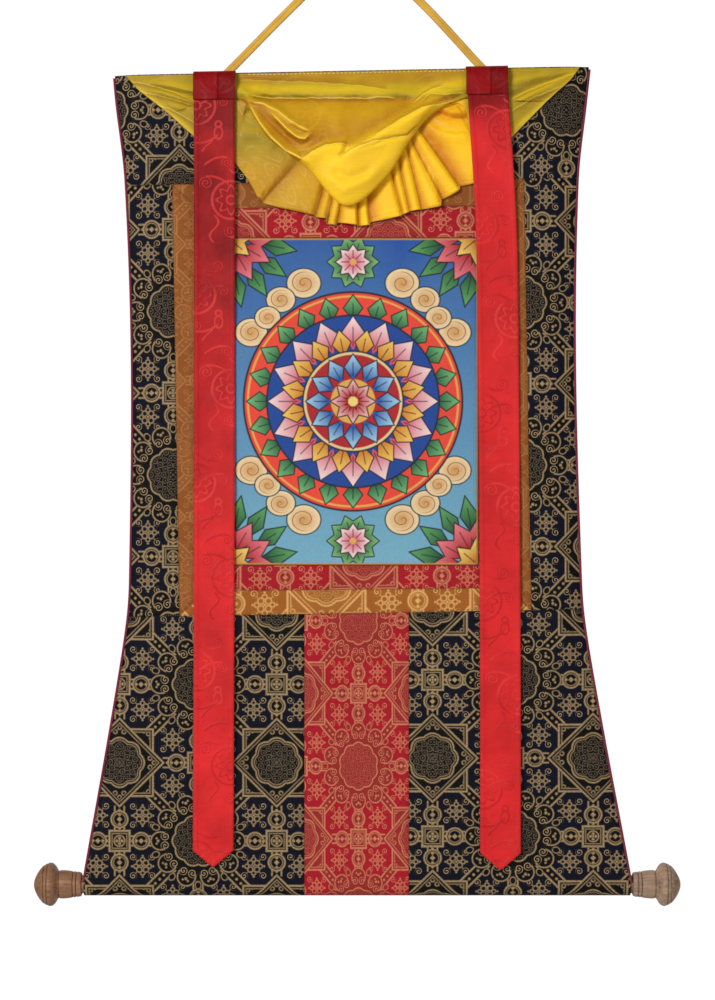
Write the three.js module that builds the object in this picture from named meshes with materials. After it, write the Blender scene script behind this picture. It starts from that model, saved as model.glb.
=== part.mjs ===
// A hanging scroll painting in a sewn brocade mount, with a silk veil tucked up at the top, two silk ribbons,
// a cord to hang it by, and a wooden rod with turned knobs in the rolled hem at the bottom.
// Millimetres, +Z up. The origin is the place under the top of the cord where a hook holds it.
// The front faces -Y.
import * as THREE from "three";

const { clamp, degToRad, lerp, smoothstep } = THREE.MathUtils;

// A table whose first row names its columns
function table([names, ...rows]) {
  return rows.map((row) => Object.fromEntries(names.map((name, i) => [name, row[i]])));
}

// Cloth thicknesses, and the gap that neighbouring pieces keep
const GAP = 0.3;
const MOUNT_CLOTH = 1.6;
const VEIL_CLOTH = 1;
const RIBBON_CLOTH = 1.4;

// The top edge climbs to the right, because the scroll hangs a little askew
const TOP_LEVEL = -128;
const TOP_LEAN = 0.0188;
const TOP_FOLD_DROP = 24;

// How far the side edges lie from the middle, at each drop below the top edge
const OUTLINE = table([
  ["drop", "left", "right"],
  [-10, 271, 259],
  [35, 267, 254],
  [120, 257, 245],
  [320, 250, 242],
  [560, 252, 248.5],
  [605, 255, 252],
  [690, 268, 266],
  [910, 306, 306.5],
]);
const PIPING_RADIUS = 1.3;
const EDGE_ROOM = 2 * PIPING_RADIUS + 2 * GAP;

// The sides curl back towards the wall, and the lower part ripples
const EDGE_CURL = 6;
const CURL_REACH = 42;
const RIPPLE = 1.4;
const RIPPLE_LENGTH = 175;
const RIPPLE_TOP = -735;
const RIPPLE_FULL = -800;
const STRAIGHT_ABOVE_ROD = 20;
const CURVED_ABOVE_ROD = 160;

// The painting and the outer rectangles of the two frames round it, each with its own small lean
const GOLD_FRAME = { middleX: -5.8, middleZ: -487.6, width: 387, height: 475, lean: 0.017 };
const RED_FRAME = { middleX: -5, middleZ: -488.7, width: 333, height: 420.5, lean: 0.0105 };
const CANVAS = { middleX: -4.4, middleZ: -492.2, width: 277, height: 361, lean: 0 };

// The red panel in the middle of the lower part
const DOOR_LEFT = -58;
const DOOR_RIGHT = 57;

// The rod, and the hem that is rolled round it almost all the way
const ROD_RADIUS = 10;
const ROD_LEVEL = -1025;
const ROD_SIDES = 20;
const HEM_RADIUS = ROD_RADIUS + 2 * GAP + MOUNT_CLOTH / 2;
const HEM_START = degToRad(506);
const HEM_END = degToRad(180);
const HEM_ROWS = 14;

// A turned knob: its radius along its length from the cloth, and the socket that takes the rod
const KNOB_SIDES = 16;
const KNOB_SOCKET = 16;
const KNOB_LENGTH = 52.8;
const KNOB_PROFILE = table([
  ["along", "radius"],
  [0, 12.4],
  [0.8, 13],
  [4.8, 13.7],
  [5.4, 13],
  [6, 13.8],
  [8.6, 14.1],
  [9.2, 13.4],
  [9.8, 14.2],
  [23.6, 15.4],
  [24.4, 14.6],
  [26.2, 16.2],
  [28, 19.4],
  [30, 21.9],
  [32.4, 23.4],
  [34.6, 23.8],
  [36.4, 23.3],
  [37, 22.5],
  [37.6, 22.8],
  [40.4, 21.5],
  [41, 20.6],
  [41.6, 20.8],
  [45, 17.6],
  [48, 13.4],
  [50.6, 8.6],
  [52.2, 4.2],
]);

// The veil. Each row follows one thread of the silk from its place on the sewn top edge, over the front of
// the swag, up behind it to the tuck and down to the hem. fold is 1 where the silk doubles back and 0 where
// it hangs singly.
const VEIL = table([
  ["top", "fold", "frontX", "frontY", "frontZ", "tuckX", "tuckY", "tuckZ", "hemX", "hemY", "hemZ"],
  [-254, 0, -206, -3.5, -177, -152, -4, -226, -110, -4.5, -269],
  [-211, 0, -173, -4.5, -167, -131, -5, -216, -89, -5, -278],
  [-167, 0, -144, -5.5, -161, -125, -5.5, -191, -67, -6.5, -285],
  [-131, 0.5, -124, -8, -163, -119, -5.5, -165, -45, -8, -290],
  [-110, 0.9, -112, -12, -182, -99, -6.5, -172, -36, -8, -292],
  [-85, 1, -95, -16, -206, -79, -7.5, -178, -28, -8, -294],
  [-46, 1, -54, -20, -238, -41, -8.5, -187, -14, -8, -297],
  [-8, 1, -13, -23, -279, -6, -8.5, -190, 0, -8, -299],
  [36, 1, 30, -21, -250, 31, -8.5, -187, 16, -8, -296],
  [80, 1, 64, -16, -198, 67, -7.5, -178, 43, -8, -287],
  [100, 0.9, 85, -12, -176, 89, -6.5, -171, 58, -8, -282],
  [119, 0.5, 114, -8, -161, 111, -5.5, -164, 75, -8, -277],
  [163, 0, 143, -5.5, -161, 126, -5.5, -188, 98, -6, -268],
  [207, 0, 179, -4.5, -163, 148, -5, -202, 114, -5, -257],
  [245, 0, 208, -3.5, -163, 170, -4, -202, 129, -4, -245],
]);
const VEIL_SEAM_DROP = 1.5;
const VEIL_BAND = 24;
const VEIL_BAND_SHARE = 0.35;
const VEIL_BULGE = 5;
const VEIL_TURN = 2.6;
const VEIL_EASE = 0.15;
const VEIL_PLEATS = 15;
const PLEAT_SHARE = 0.5;
const PLEAT_DIP = 0.6;
const VEIL_COLUMNS = 60;
const VEIL_SPAN_ROWS = [2, 2, 3, 1, 1, 3, 1, 1, 5];

// The ribbons: the middle of each, and how far in front of the mount it hangs, at each level
const RIBBON_WIDTH = 44;
const RIBBON_POINT = 19;
const RIBBON_ROWS = 24;
const RIBBONS = {
  left: table([
    ["level", "middle", "depth"],
    [-1004, -158, -5.5],
    [-700, -157, -5],
    [-340, -156.5, -5],
    [-250, -156.5, -9.5],
    [-170, -156.5, -11.5],
    [-138, -156.5, -11],
  ]),
  right: table([
    ["level", "middle", "depth"],
    [-1007, 157.5, -5.5],
    [-700, 157, -5],
    [-340, 154, -5],
    [-250, 150, -9.5],
    [-170, 144.5, -11.5],
    [-132, 142.5, -11],
  ]),
};

// The tabs folded over the top edge: their section, measured from that edge, and the lap in their front
const TAB_WIDTH = 46;
const TAB_COLUMNS = 10;
const TAB_ROWS = 12;
const TAB_LAP = 1.4;
const TAB_LAP_AT = 0.6;
const TAB_LAP_SLOPE = 0.1;
const TAB_SECTION = table([
  ["depth", "height"],
  [-14.2, -31],
  [-14, -18],
  [-13.5, -8],
  [-9.5, -1],
  [-2, 0.9],
  [3, 0.4],
  [4.4, -4],
  [4.2, -28],
]);

// The cord: a flattened tape from behind the left tab, over the hook and down behind the right tab
const CORD_WIDTH = 9;
const CORD_THICKNESS = 5;
const CORD_SIDES = 8;
const CORD_STEPS = 44;
const CORD_ROUTE = [
  [-151, 8.2, -137],
  [-141.5, 8.2, -127.7],
  [-132, 7.4, -118.5],
  [-115, 4, -101.9],
  [-98, 0.6, -85.2],
  [-81, -1.4, -68.6],
  [-64, -2, -51.9],
  [-47, -2, -35.2],
  [-30, -2, -18.4],
  [-16, -2, -4.6],
  [-8.5, -2, 2.1],
  [0, -2, 4.35],
  [8.5, -2, 2.1],
  [16, -2, -4],
  [30, -2, -16.4],
  [47, -2, -31.7],
  [64, -2, -47.6],
  [81, -1.4, -64.4],
  [98, 0.6, -82.1],
  [115, 4, -99.9],
  [126, 7.4, -111.4],
  [136, 8.2, -121.9],
  [145, 8.2, -131.3],
];

// A smooth value from a table: a cubic between two rows, its slopes taken from the rows beside them.
function fromTable(rows, key, column, at) {
  const last = rows.length - 1;
  const above = rows.findIndex((row) => row[key] >= at);
  const index = clamp(above < 0 ? last : above, 1, last);
  const [before, low, high, after] = [-2, -1, 0, 1].map((step) => rows[clamp(index + step, 0, last)]);
  const slope = (a, b) => (b[column] - a[column]) / (b[key] - a[key]);
  const run = high[key] - low[key];
  const t = clamp((at - low[key]) / run, 0, 1);
  const leaving = slope(before, high) * run;
  const arriving = slope(low, after) * run;
  return (
    low[column] * (1 + 2 * t) * (1 - t) ** 2 +
    leaving * t * (1 - t) ** 2 +
    high[column] * t * t * (3 - 2 * t) +
    arriving * t * t * (t - 1)
  );
}

const topEdge = (x) => TOP_LEVEL + TOP_LEAN * x;
const leftEdge = (z) => -fromTable(OUTLINE, "drop", "left", TOP_LEVEL - z);
const rightEdge = (z) => fromTable(OUTLINE, "drop", "right", TOP_LEVEL - z);
const leftInside = (z) => leftEdge(z) + EDGE_ROOM;
const rightInside = (z) => rightEdge(z) - EDGE_ROOM;

// How far the mount stands off the flat, towards the wall where it is positive.
function drape(x, z) {
  const fromEdge = Math.min(x - leftEdge(z), rightEdge(z) - x);
  const curl = EDGE_CURL * (1 - smoothstep(fromEdge, 0, CURL_REACH)) ** 2;
  const lower = 1 - smoothstep(z, RIPPLE_FULL, RIPPLE_TOP);
  const ripple = RIPPLE * lower * Math.sin((2 * Math.PI * x) / RIPPLE_LENGTH);
  return (curl + ripple) * smoothstep(z, ROD_LEVEL + STRAIGHT_ABOVE_ROD, ROD_LEVEL + CURVED_ABOVE_ROD);
}

const onMount = (x, z) => new THREE.Vector3(x, drape(x, z), z);

// A closed sheet: surface(u, v) is its middle, u to the right and v upwards, with a face on each side of it.
function clothSheet(columns, rows, thickness, surface) {
  const geometry = new THREE.BoxGeometry(1, 1, 1, columns, rows, 1);
  const position = geometry.getAttribute("position");
  const step = 0.002;
  const across = new THREE.Vector3();
  const along = new THREE.Vector3();
  for (let i = 0; i < position.count; i++) {
    const u = position.getX(i) + 0.5;
    const v = position.getY(i) + 0.5;
    across.subVectors(surface(Math.min(u + step, 1), v), surface(Math.max(u - step, 0), v));
    along.subVectors(surface(u, Math.min(v + step, 1)), surface(u, Math.max(v - step, 0)));
    const normal = across.cross(along).normalize();
    const point = surface(u, v).addScaledVector(normal, position.getZ(i) * thickness);
    position.setXYZ(i, point.x, point.y, point.z);
  }
  geometry.computeVertexNormals();
  return geometry;
}

// The corners of a frame, anticlockwise from the bottom left, moved out by grow on every side.
function corners(frame, grow = 0) {
  const right = frame.width / 2 + grow;
  const up = frame.height / 2 + grow;
  const middle = new THREE.Vector2(frame.middleX, frame.middleZ);
  return [
    new THREE.Vector2(-right, -up),
    new THREE.Vector2(right, -up),
    new THREE.Vector2(right, up),
    new THREE.Vector2(-right, up),
  ].map((corner) => corner.rotateAround(new THREE.Vector2(), frame.lean).add(middle));
}

// The line through two corners, as its height at x or its place across at z.
const heightOn = (a, b, x) => a.y + ((b.y - a.y) * (x - a.x)) / (b.x - a.x);
const placeOn = (a, b, z) => a.x + ((b.x - a.x) * (z - a.y)) / (b.y - a.y);

// The seams run on from the edges of the gold frame
const [goldLowLeft, goldLowRight, goldHighRight, goldHighLeft] = corners(GOLD_FRAME);
const upperSeam = (x) => heightOn(goldHighLeft, goldHighRight, x);
const lowerSeam = (x) => heightOn(goldLowLeft, goldLowRight, x);

// A place on a panel, u across and share up, between a slanting bottom and top and two curved sides.
function panelPlace(u, share, bottom, top, start, end) {
  let x = 0;
  let z = 0;
  for (let pass = 0; pass < 4; pass++) {
    z = lerp(bottom(x), top(x), share);
    x = lerp(start(z), end(z), u);
  }
  return { x, z };
}

// The panel above the frames, folded over at the top edge and down behind.
function topPanel() {
  const bodyRows = 8;
  const turnRows = 6;
  const backRows = 2;
  const rows = bodyRows + turnRows + backRows;
  const turn = (MOUNT_CLOTH + GAP) / 2;
  const bottom = (x) => upperSeam(x) + GAP / 2;
  const crest = (x) => topEdge(x) - MOUNT_CLOTH / 2 - turn;
  return clothSheet(10, rows, MOUNT_CLOTH, (u, v) => {
    const row = v * rows;
    const { x, z } = panelPlace(u, Math.min(row / bodyRows, 1), bottom, crest, leftInside, rightInside);
    if (row <= bodyRows) return onMount(x, z);
    if (row <= bodyRows + turnRows) {
      const angle = Math.PI * (1 - (row - bodyRows) / turnRows);
      const hinge = drape(x, z) + turn;
      return new THREE.Vector3(x, hinge + turn * Math.cos(angle), z + turn * Math.sin(angle));
    }
    const behind = z - (TOP_FOLD_DROP * (row - bodyRows - turnRows)) / backRows;
    const backX = lerp(leftInside(behind), rightInside(behind), u);
    return new THREE.Vector3(backX, drape(backX, behind) + 2 * turn, behind);
  });
}

// A panel beside the gold frame, from the lower seam to the upper one.
function sidePanel(start, end) {
  const bottom = (x) => lowerSeam(x) + GAP / 2;
  const top = (x) => upperSeam(x) - GAP / 2;
  return clothSheet(5, 14, MOUNT_CLOTH, (u, v) => {
    const { x, z } = panelPlace(u, v, bottom, top, start, end);
    return onMount(x, z);
  });
}

// A panel of the lower part, from the hem that is rolled round the rod up to the lower seam.
function lowerPanel(columns, start, end) {
  const bodyRows = 9;
  const rows = HEM_ROWS + bodyRows;
  const top = (x) => lowerSeam(x) - GAP / 2;
  return clothSheet(columns, rows, MOUNT_CLOTH, (u, v) => {
    const row = v * rows;
    const share = Math.max((row - HEM_ROWS) / bodyRows, 0);
    const { x, z } = panelPlace(u, share, () => ROD_LEVEL, top, start, end);
    if (row > HEM_ROWS) return onMount(x, z);
    const angle = lerp(HEM_START, HEM_END, row / HEM_ROWS);
    return new THREE.Vector3(
      x,
      HEM_RADIUS + HEM_RADIUS * Math.cos(angle),
      ROD_LEVEL + HEM_RADIUS * Math.sin(angle),
    );
  });
}

// A flat four-cornered piece of the mount, its corners given anticlockwise from the bottom left.
function flatPiece([lowLeft, lowRight, highRight, highLeft]) {
  return clothSheet(1, 1, MOUNT_CLOTH, (u, v) => {
    const low = new THREE.Vector2().lerpVectors(lowLeft, lowRight, u);
    const high = new THREE.Vector2().lerpVectors(highLeft, highRight, u);
    const place = low.lerp(high, v);
    return onMount(place.x, place.y);
  });
}

// The four mitred strips between a frame's outer and inner rectangles.
function frameStrips(outer, inner) {
  const out = corners(outer, -GAP / 2);
  const into = corners(inner, GAP / 2);
  const strip = (from, to) => {
    const along = out[to].clone().sub(out[from]).setLength(GAP * Math.SQRT1_2);
    return {
      outFrom: out[from].clone().add(along),
      outTo: out[to].clone().sub(along),
      inFrom: into[from].clone().add(along),
      inTo: into[to].clone().sub(along),
    };
  };
  const bottom = strip(0, 1);
  const right = strip(1, 2);
  const top = strip(2, 3);
  const left = strip(3, 0);
  return {
    bottom: flatPiece([bottom.outFrom, bottom.outTo, bottom.inTo, bottom.inFrom]),
    right: flatPiece([right.inFrom, right.outFrom, right.outTo, right.inTo]),
    top: flatPiece([top.inTo, top.inFrom, top.outFrom, top.outTo]),
    left: flatPiece([left.outTo, left.inTo, left.inFrom, left.outFrom]),
  };
}

// A few straight sides round an ellipse.
function ovalSection(halfX, halfY, sides) {
  const turns = Array.from({ length: sides }, (_, i) => (2 * Math.PI * i) / sides);
  return new THREE.Shape(turns.map((a) => new THREE.Vector2(halfX * Math.cos(a), halfY * Math.sin(a))));
}

// The piping sewn along a side edge, from the top fold to the rolled hem. outward is -1 on the left side.
function piping(edge, outward) {
  const steps = 30;
  const topDrop = 3;
  const rodRoom = 4;
  const top = topEdge(edge(TOP_LEVEL)) - topDrop;
  const bottom = ROD_LEVEL + rodRoom;
  const points = Array.from({ length: steps + 1 }, (_, i) => {
    const z = lerp(bottom, top, i / steps);
    const inside = edge(z) - outward * EDGE_ROOM;
    return new THREE.Vector3(edge(z) - outward * PIPING_RADIUS, drape(inside, z), z);
  });
  const extrudePath = new THREE.CatmullRomCurve3(points);
  const section = ovalSection(PIPING_RADIUS, PIPING_RADIUS, 6);
  return new THREE.ExtrudeGeometry(section, { extrudePath, steps, bevelEnabled: false });
}

// One thread of the veil, from its place on the top edge down to the hem.
function veilThread(place) {
  const at = (column) => fromTable(VEIL, "top", column, place);
  const fold = at("fold");
  const sewnDepth = -MOUNT_CLOTH / 2 - GAP - VEIL_CLOTH / 2;
  const top = new THREE.Vector3(place, sewnDepth, topEdge(place) - VEIL_SEAM_DROP);
  const front = new THREE.Vector3(at("frontX"), at("frontY"), at("frontZ"));
  const tuck = new THREE.Vector3(at("tuckX"), at("tuckY"), at("tuckZ"));
  const hem = new THREE.Vector3(at("hemX"), at("hemY"), at("hemZ"));
  const band = top.clone().lerp(front, 0.27);
  band.z = top.z - Math.min(VEIL_BAND, VEIL_BAND_SHARE * (top.z - front.z));
  const bulge = band.clone().lerp(front, 0.55);
  bulge.y = front.y - VEIL_BULGE * fold;
  const turn = VEIL_TURN * fold;
  const easing = VEIL_EASE * (1 - fold);
  const beside = (point, next, y, z) => point.clone().lerp(next, easing).add(new THREE.Vector3(0, y, z));
  return new THREE.CatmullRomCurve3([
    top,
    band,
    bulge,
    beside(front, bulge, -turn, turn),
    front,
    beside(front, tuck, turn, turn),
    beside(tuck, front, -turn, -turn),
    tuck,
    beside(tuck, hem, 0.6 * turn, -turn),
    hem,
  ]);
}

// The veil, one sheet from the sewn edge to the pleated hem.
function veil() {
  const spans = VEIL_SPAN_ROWS.length;
  const rows = VEIL_SPAN_ROWS.reduce((sum, count) => sum + count, 0);
  const first = VEIL[0].top;
  const last = VEIL[VEIL.length - 1].top;
  const spanAt = (row) => {
    let rest = row;
    let span = 0;
    while (span < spans - 1 && rest > VEIL_SPAN_ROWS[span]) {
      rest -= VEIL_SPAN_ROWS[span];
      span += 1;
    }
    return span + rest / VEIL_SPAN_ROWS[span];
  };
  return clothSheet(VEIL_COLUMNS, rows, VEIL_CLOTH, (u, v) => {
    const at = spanAt((1 - v) * rows);
    const thread = veilThread(lerp(first, last, u));
    const point = thread.getPoint(at / spans);
    const pleat = PLEAT_SHARE * thread.points.at(-1).y * smoothstep(at, spans - 1, spans);
    const wave = pleat * Math.cos(2 * Math.PI * VEIL_PLEATS * u);
    return point.add(new THREE.Vector3(0, wave, PLEAT_DIP * wave));
  });
}

// A ribbon with a pointed end, hanging from under its tab.
function ribbon(rows) {
  const tip = rows[0].level;
  const head = rows[rows.length - 1].level;
  return clothSheet(2, RIBBON_ROWS, RIBBON_CLOTH, (u, v) => {
    const end = tip + RIBBON_POINT * Math.abs(2 * u - 1);
    const z = lerp(end, head, v);
    const x = fromTable(rows, "level", "middle", z) + RIBBON_WIDTH * (u - 0.5);
    return new THREE.Vector3(x, fromTable(rows, "level", "depth", z), z);
  });
}

// A tab folded over the top edge, its front made of two laps that meet in an upright line.
function tab(middle) {
  const section = new THREE.CatmullRomCurve3(
    TAB_SECTION.map(({ depth, height }) => new THREE.Vector3(0, depth, height)),
  );
  return clothSheet(TAB_COLUMNS, TAB_ROWS, RIBBON_CLOTH, (u, v) => {
    const x = middle + TAB_WIDTH * (u - 0.5);
    const point = section.getPoint(v);
    const inFront = smoothstep(-point.y, 8, 12);
    point.y -= TAB_LAP * inFront * (1 - smoothstep(u, TAB_LAP_AT - TAB_LAP_SLOPE, TAB_LAP_AT));
    return point.add(new THREE.Vector3(x, 0, topEdge(x)));
  });
}

// The cord along its route.
function cord() {
  const extrudePath = new THREE.CatmullRomCurve3(CORD_ROUTE.map((point) => new THREE.Vector3(...point)));
  const section = ovalSection(CORD_THICKNESS / 2, CORD_WIDTH / 2, CORD_SIDES);
  return new THREE.ExtrudeGeometry(section, { extrudePath, steps: CORD_STEPS, bevelEnabled: false });
}

// A knob, turned about its own Y axis.
function knob() {
  const socket = [
    new THREE.Vector2(0, KNOB_SOCKET),
    new THREE.Vector2(ROD_RADIUS + 2 * GAP, KNOB_SOCKET),
    new THREE.Vector2(ROD_RADIUS + 2 * GAP, 0),
  ];
  const outside = KNOB_PROFILE.map(({ along, radius }) => new THREE.Vector2(radius, along));
  return new THREE.LatheGeometry([...socket, ...outside, new THREE.Vector2(0, KNOB_LENGTH)], KNOB_SIDES);
}

// Finishes
const finish = (color, roughness) => new THREE.MeshStandardMaterial({ color, roughness, metalness: 0 });
const navyBrocade = finish(0x24232b, 0.7);
const redBrocade = finish(0xa02a2c, 0.65);
const goldBrocade = finish(0xa9722d, 0.65);
const paintedCanvas = finish(0x3c6aa0, 0.8);
const maroonPiping = finish(0x6b1530, 0.7);
const yellowSilk = finish(0xd8b020, 0.4);
const redSilk = finish(0xc8282e, 0.4);
const yellowTape = finish(0xdca832, 0.6);
const turnedWood = finish(0x8a6a52, 0.55);

const scroll = new THREE.Group();

function add(name, geometry, material, parent = scroll) {
  const mesh = new THREE.Mesh(geometry, material);
  mesh.name = name;
  parent.add(mesh);
  return mesh;
}

// The brocade mount
const goldLeft = (z) => placeOn(goldLowLeft, goldHighLeft, z) - GAP / 2;
const goldRight = (z) => placeOn(goldLowRight, goldHighRight, z) + GAP / 2;
const doorLeft = (side) => () => DOOR_LEFT + (side * GAP) / 2;
const doorRight = (side) => () => DOOR_RIGHT + (side * GAP) / 2;
add("panel_top", topPanel(), navyBrocade);
add("panel_side_left", sidePanel(leftInside, goldLeft), navyBrocade);
add("panel_side_right", sidePanel(goldRight, rightInside), navyBrocade);
add("panel_lower_left", lowerPanel(6, leftInside, doorLeft(-1)), navyBrocade);
add("panel_door", lowerPanel(4, doorLeft(1), doorRight(-1)), redBrocade);
add("panel_lower_right", lowerPanel(6, doorRight(1), rightInside), navyBrocade);
add("piping_left", piping(leftEdge, -1), maroonPiping);
add("piping_right", piping(rightEdge, 1), maroonPiping);

// The painting and its frames
for (const [side, geometry] of Object.entries(frameStrips(GOLD_FRAME, RED_FRAME))) {
  add(`border_gold_${side}`, geometry, goldBrocade);
}
for (const [side, geometry] of Object.entries(frameStrips(RED_FRAME, CANVAS))) {
  add(`border_red_${side}`, geometry, redBrocade);
}
add("canvas", flatPiece(corners(CANVAS, -GAP / 2)), paintedCanvas);

// The silk veil, the ribbons and their tabs, and the cord
add("veil", veil(), yellowSilk);
for (const [side, rows] of Object.entries(RIBBONS)) {
  add(`ribbon_${side}`, ribbon(rows), redSilk);
  add(`tab_${side}`, tab(rows[rows.length - 1].middle), redSilk);
}
add("cord", cord(), yellowTape);

// The rod and its knobs, on the axis of the rolled hem
const rodGroup = new THREE.Group();
rodGroup.position.set(0, HEM_RADIUS, ROD_LEVEL);
scroll.add(rodGroup);
const knobLeftAt = leftEdge(ROD_LEVEL) - GAP;
const knobRightAt = rightEdge(ROD_LEVEL) + GAP;
const rodLength = knobRightAt - knobLeftAt + 2 * (KNOB_SOCKET - GAP);
const rodGeometry = new THREE.CylinderGeometry(ROD_RADIUS, ROD_RADIUS, rodLength, ROD_SIDES);
const rod = add("rod", rodGeometry, turnedWood, rodGroup);
rod.rotation.z = Math.PI / 2;
rod.position.x = (knobLeftAt + knobRightAt) / 2;
const knobLeft = add("knob_left", knob(), turnedWood, rodGroup);
knobLeft.rotation.z = Math.PI / 2;
knobLeft.position.x = knobLeftAt;
const knobRight = add("knob_right", knob(), turnedWood, rodGroup);
knobRight.rotation.z = -Math.PI / 2;
knobRight.position.x = knobRightAt;

export default scroll;
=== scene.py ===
# Looks of the hanging scroll painting: the sewn brocade mount, the silk veil and ribbons, the cord, and the
# rod with its turned knobs. Lengths in the tables are millimetres. The front faces -Y and Z points up.
import functools
import math

import bpy
import numpy as np
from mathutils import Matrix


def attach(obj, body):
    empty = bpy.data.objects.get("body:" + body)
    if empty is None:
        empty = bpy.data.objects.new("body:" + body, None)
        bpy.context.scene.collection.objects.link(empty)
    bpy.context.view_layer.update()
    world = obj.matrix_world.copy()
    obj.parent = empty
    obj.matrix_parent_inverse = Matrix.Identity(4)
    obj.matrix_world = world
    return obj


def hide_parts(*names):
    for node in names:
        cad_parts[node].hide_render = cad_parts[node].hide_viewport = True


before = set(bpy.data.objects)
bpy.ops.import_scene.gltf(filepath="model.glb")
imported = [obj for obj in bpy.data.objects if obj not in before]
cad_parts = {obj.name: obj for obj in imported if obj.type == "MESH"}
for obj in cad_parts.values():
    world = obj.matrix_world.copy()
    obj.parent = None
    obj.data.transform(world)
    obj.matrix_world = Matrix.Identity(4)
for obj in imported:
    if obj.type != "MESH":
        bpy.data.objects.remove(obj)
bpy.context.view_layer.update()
MM = 0.001

# The camera looks straight at the cloth
CAMERA_DISTANCE = 2.8
VIEW_HEIGHT = 1.1
VIEW_MIDDLE = (0.0005, -0.6006)
SENSOR_HEIGHT = 24
camera_data = bpy.data.cameras.new("camera")
camera_data.sensor_fit = "VERTICAL"
camera_data.sensor_height = SENSOR_HEIGHT
camera_data.lens = SENSOR_HEIGHT * CAMERA_DISTANCE / VIEW_HEIGHT
camera = bpy.data.objects.new("camera", camera_data)
camera.location = (VIEW_MIDDLE[0], -CAMERA_DISTANCE, VIEW_MIDDLE[1])
camera.rotation_euler = (math.pi / 2, 0, 0)
bpy.context.scene.collection.objects.link(camera)
bpy.context.scene.camera = camera


# Numbers in a shader, written as plain formulas


class Number:
    """A number in a node tree. Sums and products of these make the nodes."""

    def __init__(self, tree, socket):
        self.tree = tree
        self.socket = socket

    def math(self, operation, *others, clamp=False):
        node = self.tree.nodes.new("ShaderNodeMath")
        node.operation = operation
        node.use_clamp = clamp
        for slot, item in zip(node.inputs, (self, *others)):
            if isinstance(item, Number):
                self.tree.links.new(item.socket, slot)
            else:
                slot.default_value = item
        return Number(self.tree, node.outputs[0])

    def __add__(self, other):
        return self.math("ADD", other)

    def __mul__(self, other):
        return self.math("MULTIPLY", other)

    def __sub__(self, other):
        return self.math("SUBTRACT", other)

    def __rsub__(self, other):
        return self.math("MULTIPLY_ADD", -1, other)

    def __truediv__(self, other):
        return self.math("DIVIDE", other)

    def __abs__(self):
        return self.math("ABSOLUTE")

    __radd__ = __add__
    __rmul__ = __mul__

    def ramp(self, start, end):
        """0 at start and 1 at end, and held there."""
        run = end - start
        return self.math("MULTIPLY_ADD", 1 / run, -start / run, clamp=True)

    def fold(self, half):
        """A value that goes up to half and back to 0."""
        return self.math("PINGPONG", half)


def hypot(a, b):
    return (a * a + b * b).math("SQRT")


def highest(*items):
    return functools.reduce(lambda a, b: a.math("MAXIMUM", b), items)


def lowest(*items):
    return functools.reduce(lambda a, b: a.math("MINIMUM", b), items)


def line(distance, half_width, soft=0.004):
    return abs(distance).ramp(half_width + soft, half_width - soft)


def inside(distance, soft=0.004):
    return distance.ramp(soft, -soft)


def outside(distance, soft=0.004):
    return distance.ramp(-soft, soft)


def vector(tree, x, y, z=0.0):
    node = tree.nodes.new("ShaderNodeCombineXYZ")
    for slot, item in zip(node.inputs, (x, y, z)):
        if isinstance(item, Number):
            tree.links.new(item.socket, slot)
        else:
            slot.default_value = item
    return node.outputs[0]


def parts(tree, socket):
    node = tree.nodes.new("ShaderNodeSeparateXYZ")
    tree.links.new(socket, node.inputs[0])
    return [Number(tree, out) for out in node.outputs]


def noise(tree, place, scale, detail=2.0, roughness=0.5):
    node = tree.nodes.new("ShaderNodeTexNoise")
    tree.links.new(place, node.inputs["Vector"])
    node.inputs["Scale"].default_value = scale
    node.inputs["Detail"].default_value = detail
    node.inputs["Roughness"].default_value = roughness
    return Number(tree, node.outputs["Fac"])


def group(name, inputs, outputs, build):
    """A node group whose numbers come from build(tree, vector sockets)."""
    tree = bpy.data.node_groups.new(name, "ShaderNodeTree")
    for item in inputs:
        tree.interface.new_socket(item, in_out="INPUT", socket_type="NodeSocketVector")
    for item in outputs:
        tree.interface.new_socket(item, in_out="OUTPUT", socket_type="NodeSocketFloat")
    entry = tree.nodes.new("NodeGroupInput")
    leave = tree.nodes.new("NodeGroupOutput")
    for slot, result in zip(leave.inputs, build(tree, *entry.outputs[: len(inputs)])):
        tree.links.new(result.socket, slot)
    return tree


def use_group(tree, content, *places):
    node = tree.nodes.new("ShaderNodeGroup")
    node.node_tree = content
    for slot, place in zip(node.inputs, places):
        tree.links.new(place, slot)
    return [Number(tree, out) for out in node.outputs]


def linear(red, green, blue):
    """A colour as the shader takes it, from screen values of 0 to 255."""
    values = [v / 255 for v in (red, green, blue)]
    return (*[v / 12.92 if v <= 0.04045 else ((v + 0.055) / 1.055) ** 2.4 for v in values], 1.0)


def mix(tree, share, first, second, blend="MIX"):
    """A colour between two others. Each is a colour or the socket of one."""
    node = tree.nodes.new("ShaderNodeMix")
    node.data_type = "RGBA"
    node.blend_type = blend
    for slot, item in ((node.inputs[0], share), (node.inputs[6], first), (node.inputs[7], second)):
        if isinstance(item, Number):
            tree.links.new(item.socket, slot)
        elif isinstance(item, (tuple, float, int)):
            slot.default_value = item
        else:
            tree.links.new(item, slot)
    return node.outputs[2]


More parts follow.
